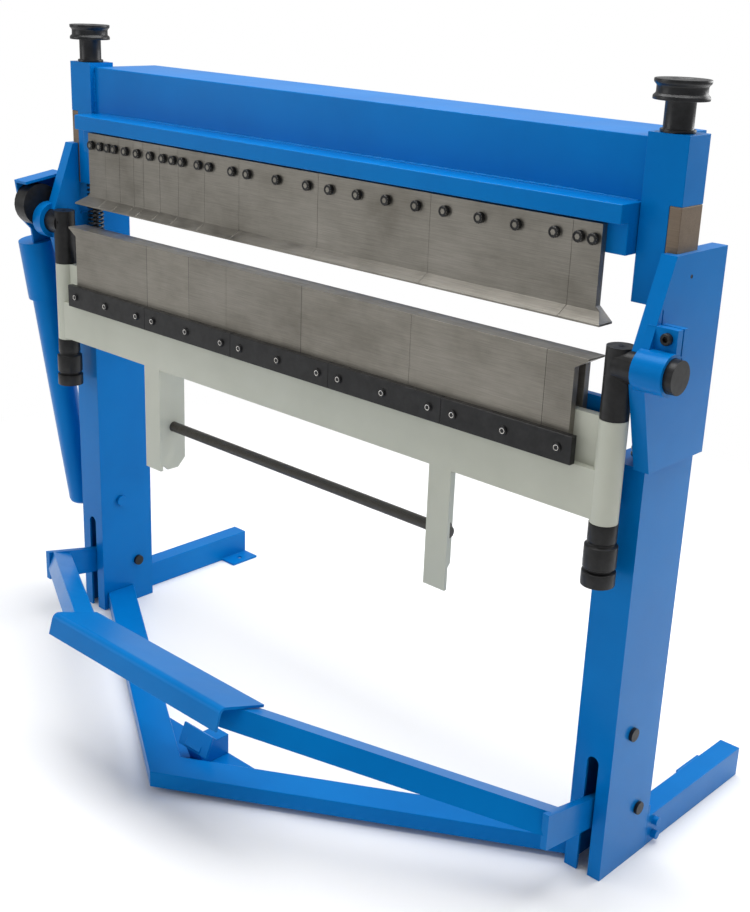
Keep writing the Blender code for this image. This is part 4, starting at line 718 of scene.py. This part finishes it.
for number in range(1, CLAMP_BARS + 1):
    node = "clamp_bar_" + str(number)
    low, high = low_high(node)
    middle = (low.x + high.x) / 2
    for place in (-1, 0, 1):
        socket_screw(
            node + "_socket_" + str(place + 2),
            (middle + place * BAR_SCREW_SPACING, low.y + BAR_SCREW_DEPTH, (low.z + high.z) / 2),
            FORWARD, BAR_SCREW_RADIUS, BAR_SCREW_HEIGHT, BODY_OF[node], rim=True,
        )

edge = MIDDLE_X - WORKING_LENGTH / 2
for number, (width, count) in enumerate(zip(UPPER_WIDTHS, UPPER_SCREWS)):
    node = "upper_blade_" + str(number + 1)
    span = width * WORKING_LENGTH / sum(UPPER_WIDTHS)
    margin = UPPER_SCREW_MARGIN + span * UPPER_SCREW_SIDE_SHARE if count > 1 else span / 2
    for place in range(count):
        x = edge + margin + place * (span - 2 * margin) / max(count - 1, 1)
        socket_screw(
            node + "_socket_" + str(place + 1), (x, UPPER_FACE_Y, UPPER_SCREW_Z),
            FORWARD, UPPER_SCREW_RADIUS, UPPER_SCREW_HEIGHT, BODY_OF[node],
        )
    edge += span

# Small details of the right side plate and the hinge posts, placed from the hinge

PLATE_FACE_STEP = 0.013
HOLE_RADIUS = 0.0028
HOLE_BEHIND = 0.087
HOLE_RISE = 0.121
LUG_SCREW_STEP = 0.020
LUG_SCREW_BEHIND = 0.006
LUG_SCREW_RISE = 0.048
LUG_SCREW_RADIUS = 0.0088
LUG_SCREW_HEIGHT = 0.0070
POST_DIMPLE_RADIUS = 0.0042
SET_SCREW_TURN = math.radians(-83)
SET_SCREW_REACH = 0.0215
SET_SCREW_RISE = 0.002

plate_x = COLUMNS_HIGH_X + PLATE_FACE_STEP
# The plate hole and the posts' centre holes and set screws are drawn as black discs: painted shade of their
# hollows.
hole_place = (plate_x, HINGE.y + HOLE_BEHIND, HINGE.z + HOLE_RISE)
dimple("right_plate_hole", hole_place, (1, 0, 0), HOLE_RADIUS, "frame")
lug_place = (plate_x + LUG_SCREW_STEP, HINGE.y + LUG_SCREW_BEHIND, HINGE.z + LUG_SCREW_RISE)
socket_screw("lug_clamp_screw", lug_place, FORWARD, LUG_SCREW_RADIUS, LUG_SCREW_HEIGHT, "frame")
facing = Vector((math.cos(SET_SCREW_TURN), math.sin(SET_SCREW_TURN), 0))
for side in SIDES:
    post_top = low_high(side + "_hinge_post")[1].z
    nut_low, nut_high = low_high(side + "_adjusting_nut")
    cx = (nut_low.x + nut_high.x) / 2
    cy = (nut_low.y + nut_high.y) / 2
    dimple(side + "_post_centre", (cx, cy, post_top), (0, 0, 1), POST_DIMPLE_RADIUS, "hinge_posts")
    screw_place = Vector((cx, cy, HINGE.z + SET_SCREW_RISE)) + facing * SET_SCREW_REACH
    dimple(side + "_post_set_screw", screw_place, facing, POST_DIMPLE_RADIUS, "hinge_posts")

# Welds of the clamping beam

HOLDER_WELD_END = 0.010
HOLDER_WELD_RADIUS = 0.0030
BOX_WELD_END = 0.012
BOX_WELD_RADIUS = 0.0026
BOX_WELD_SEED = 1.7

beam_low, beam_high = low_high("clamp_beam")
holder_top = low_high("blade_holder")[1].z
bead(
    "holder_weld",
    (beam_low.x + HOLDER_WELD_END, beam_low.y, holder_top),
    (beam_high.x - HOLDER_WELD_END, beam_low.y, holder_top),
    HOLDER_WELD_RADIUS,
)
for side in SIDES:
    box_low, box_high = low_high(side + "_end_box")
    inner_x = box_high.x if side == "left" else box_low.x
    bead(
        side + "_beam_weld",
        (inner_x, beam_low.y, beam_low.z + BOX_WELD_END),
        (inner_x, beam_low.y, beam_high.z - BOX_WELD_END),
        BOX_WELD_RADIUS,
        BOX_WELD_SEED,
    )

# World: soft light on the object, plain white for the camera

SOFT_STRENGTH = 0.40
WHITE_STRENGTH = 1.0

world = bpy.data.worlds.new("studio")
scene.world = world
world.use_nodes = True
tree = world.node_tree
tree.nodes.clear()
output = tree.nodes.new("ShaderNodeOutputWorld")
paths = tree.nodes.new("ShaderNodeLightPath")
seen = tree.nodes.new("ShaderNodeMath")
seen.operation = "MAXIMUM"
tree.links.new(paths.outputs["Is Camera Ray"], seen.inputs[0])
tree.links.new(paths.outputs["Is Transmission Ray"], seen.inputs[1])
choose = tree.nodes.new("ShaderNodeMixShader")
tree.links.new(seen.outputs[0], choose.inputs[0])
for slot, strength in ((1, SOFT_STRENGTH), (2, WHITE_STRENGTH)):
    background = tree.nodes.new("ShaderNodeBackground")
    background.inputs["Color"].default_value = (1.0, 1.0, 1.0, 1.0)
    background.inputs["Strength"].default_value = strength
    tree.links.new(background.outputs[0], choose.inputs[slot])
tree.links.new(choose.outputs[0], output.inputs["Surface"])

# Lamps


def lamp(name, place, aim, size, power):
    """Rectangular area lamp that points at a place."""
    data = bpy.data.lights.new(name, "AREA")
    data.shape = "RECTANGLE"
    data.size = size[0]
    data.size_y = size[1]
    data.energy = power
    item = bpy.data.objects.new(name, data)
    scene.collection.objects.link(item)
    item.location = place
    item.rotation_euler = (Vector(aim) - Vector(place)).to_track_quat("-Z", "Y").to_euler()


lamp("overhead_softbox", place=(0.0, 0.3, 3.3), aim=(0, 0.1, 0), size=(3.6, 2.6), power=135)
lamp("front_fill", place=(-2.6, -3.0, 1.8), aim=(0, 0, 0.7), size=(2.2, 2.2), power=26)
lamp("rear_fill", place=(1.2, 3.4, 2.0), aim=(0, 0, 0.7), size=(2.6, 2.0), power=55)

# Floor: pale and shadowed near the object, fading to plain white away from it

FADE_START = 0.8
FADE_END = 2.0
FLOOR_HALF = 9
FLOOR_DROP = 0.0004


def pale_floor():
    m = Nodes("pale_floor")
    m.set(
        Base_Color=m.ramp(m.noise(0.8), [(0.3, 0.90), (0.7, 0.93)]),
        Roughness=0.8,
        Specular_IOR_Level=0.1,
    )
    reach = m.add("ShaderNodeVectorMath", operation="LENGTH")
    m.link(m.place, reach.inputs[0])
    away = m.spread(reach.outputs["Value"], 0.0, 1.0, FADE_START, FADE_END)
    rays = m.add("ShaderNodeLightPath")
    straight = m.maths("MAXIMUM", rays.outputs["Is Camera Ray"], rays.outputs["Is Transmission Ray"])
    paper = m.add("ShaderNodeEmission")
    paper.inputs["Strength"].default_value = 1.0
    fade = m.add("ShaderNodeMixShader")
    m.link(m.maths("MULTIPLY", away, straight), fade.inputs[0])
    m.link(m.shader.outputs["BSDF"], fade.inputs[1])
    m.link(paper.outputs["Emission"], fade.inputs[2])
    m.link(fade.outputs["Shader"], m.out.inputs["Surface"])
    return m.material


floor_mesh = bpy.data.meshes.new("floor")
floor_corners = [(x * FLOOR_HALF, y * FLOOR_HALF, 0) for x, y in ((-1, -1), (1, -1), (1, 1), (-1, 1))]
floor_mesh.from_pydata(floor_corners, [], [(0, 1, 2, 3)])
floor_mesh.materials.append(pale_floor())
floor = bpy.data.objects.new("floor", floor_mesh)
scene.collection.objects.link(floor)
floor.location = (0, 0, -FLOOR_DROP)
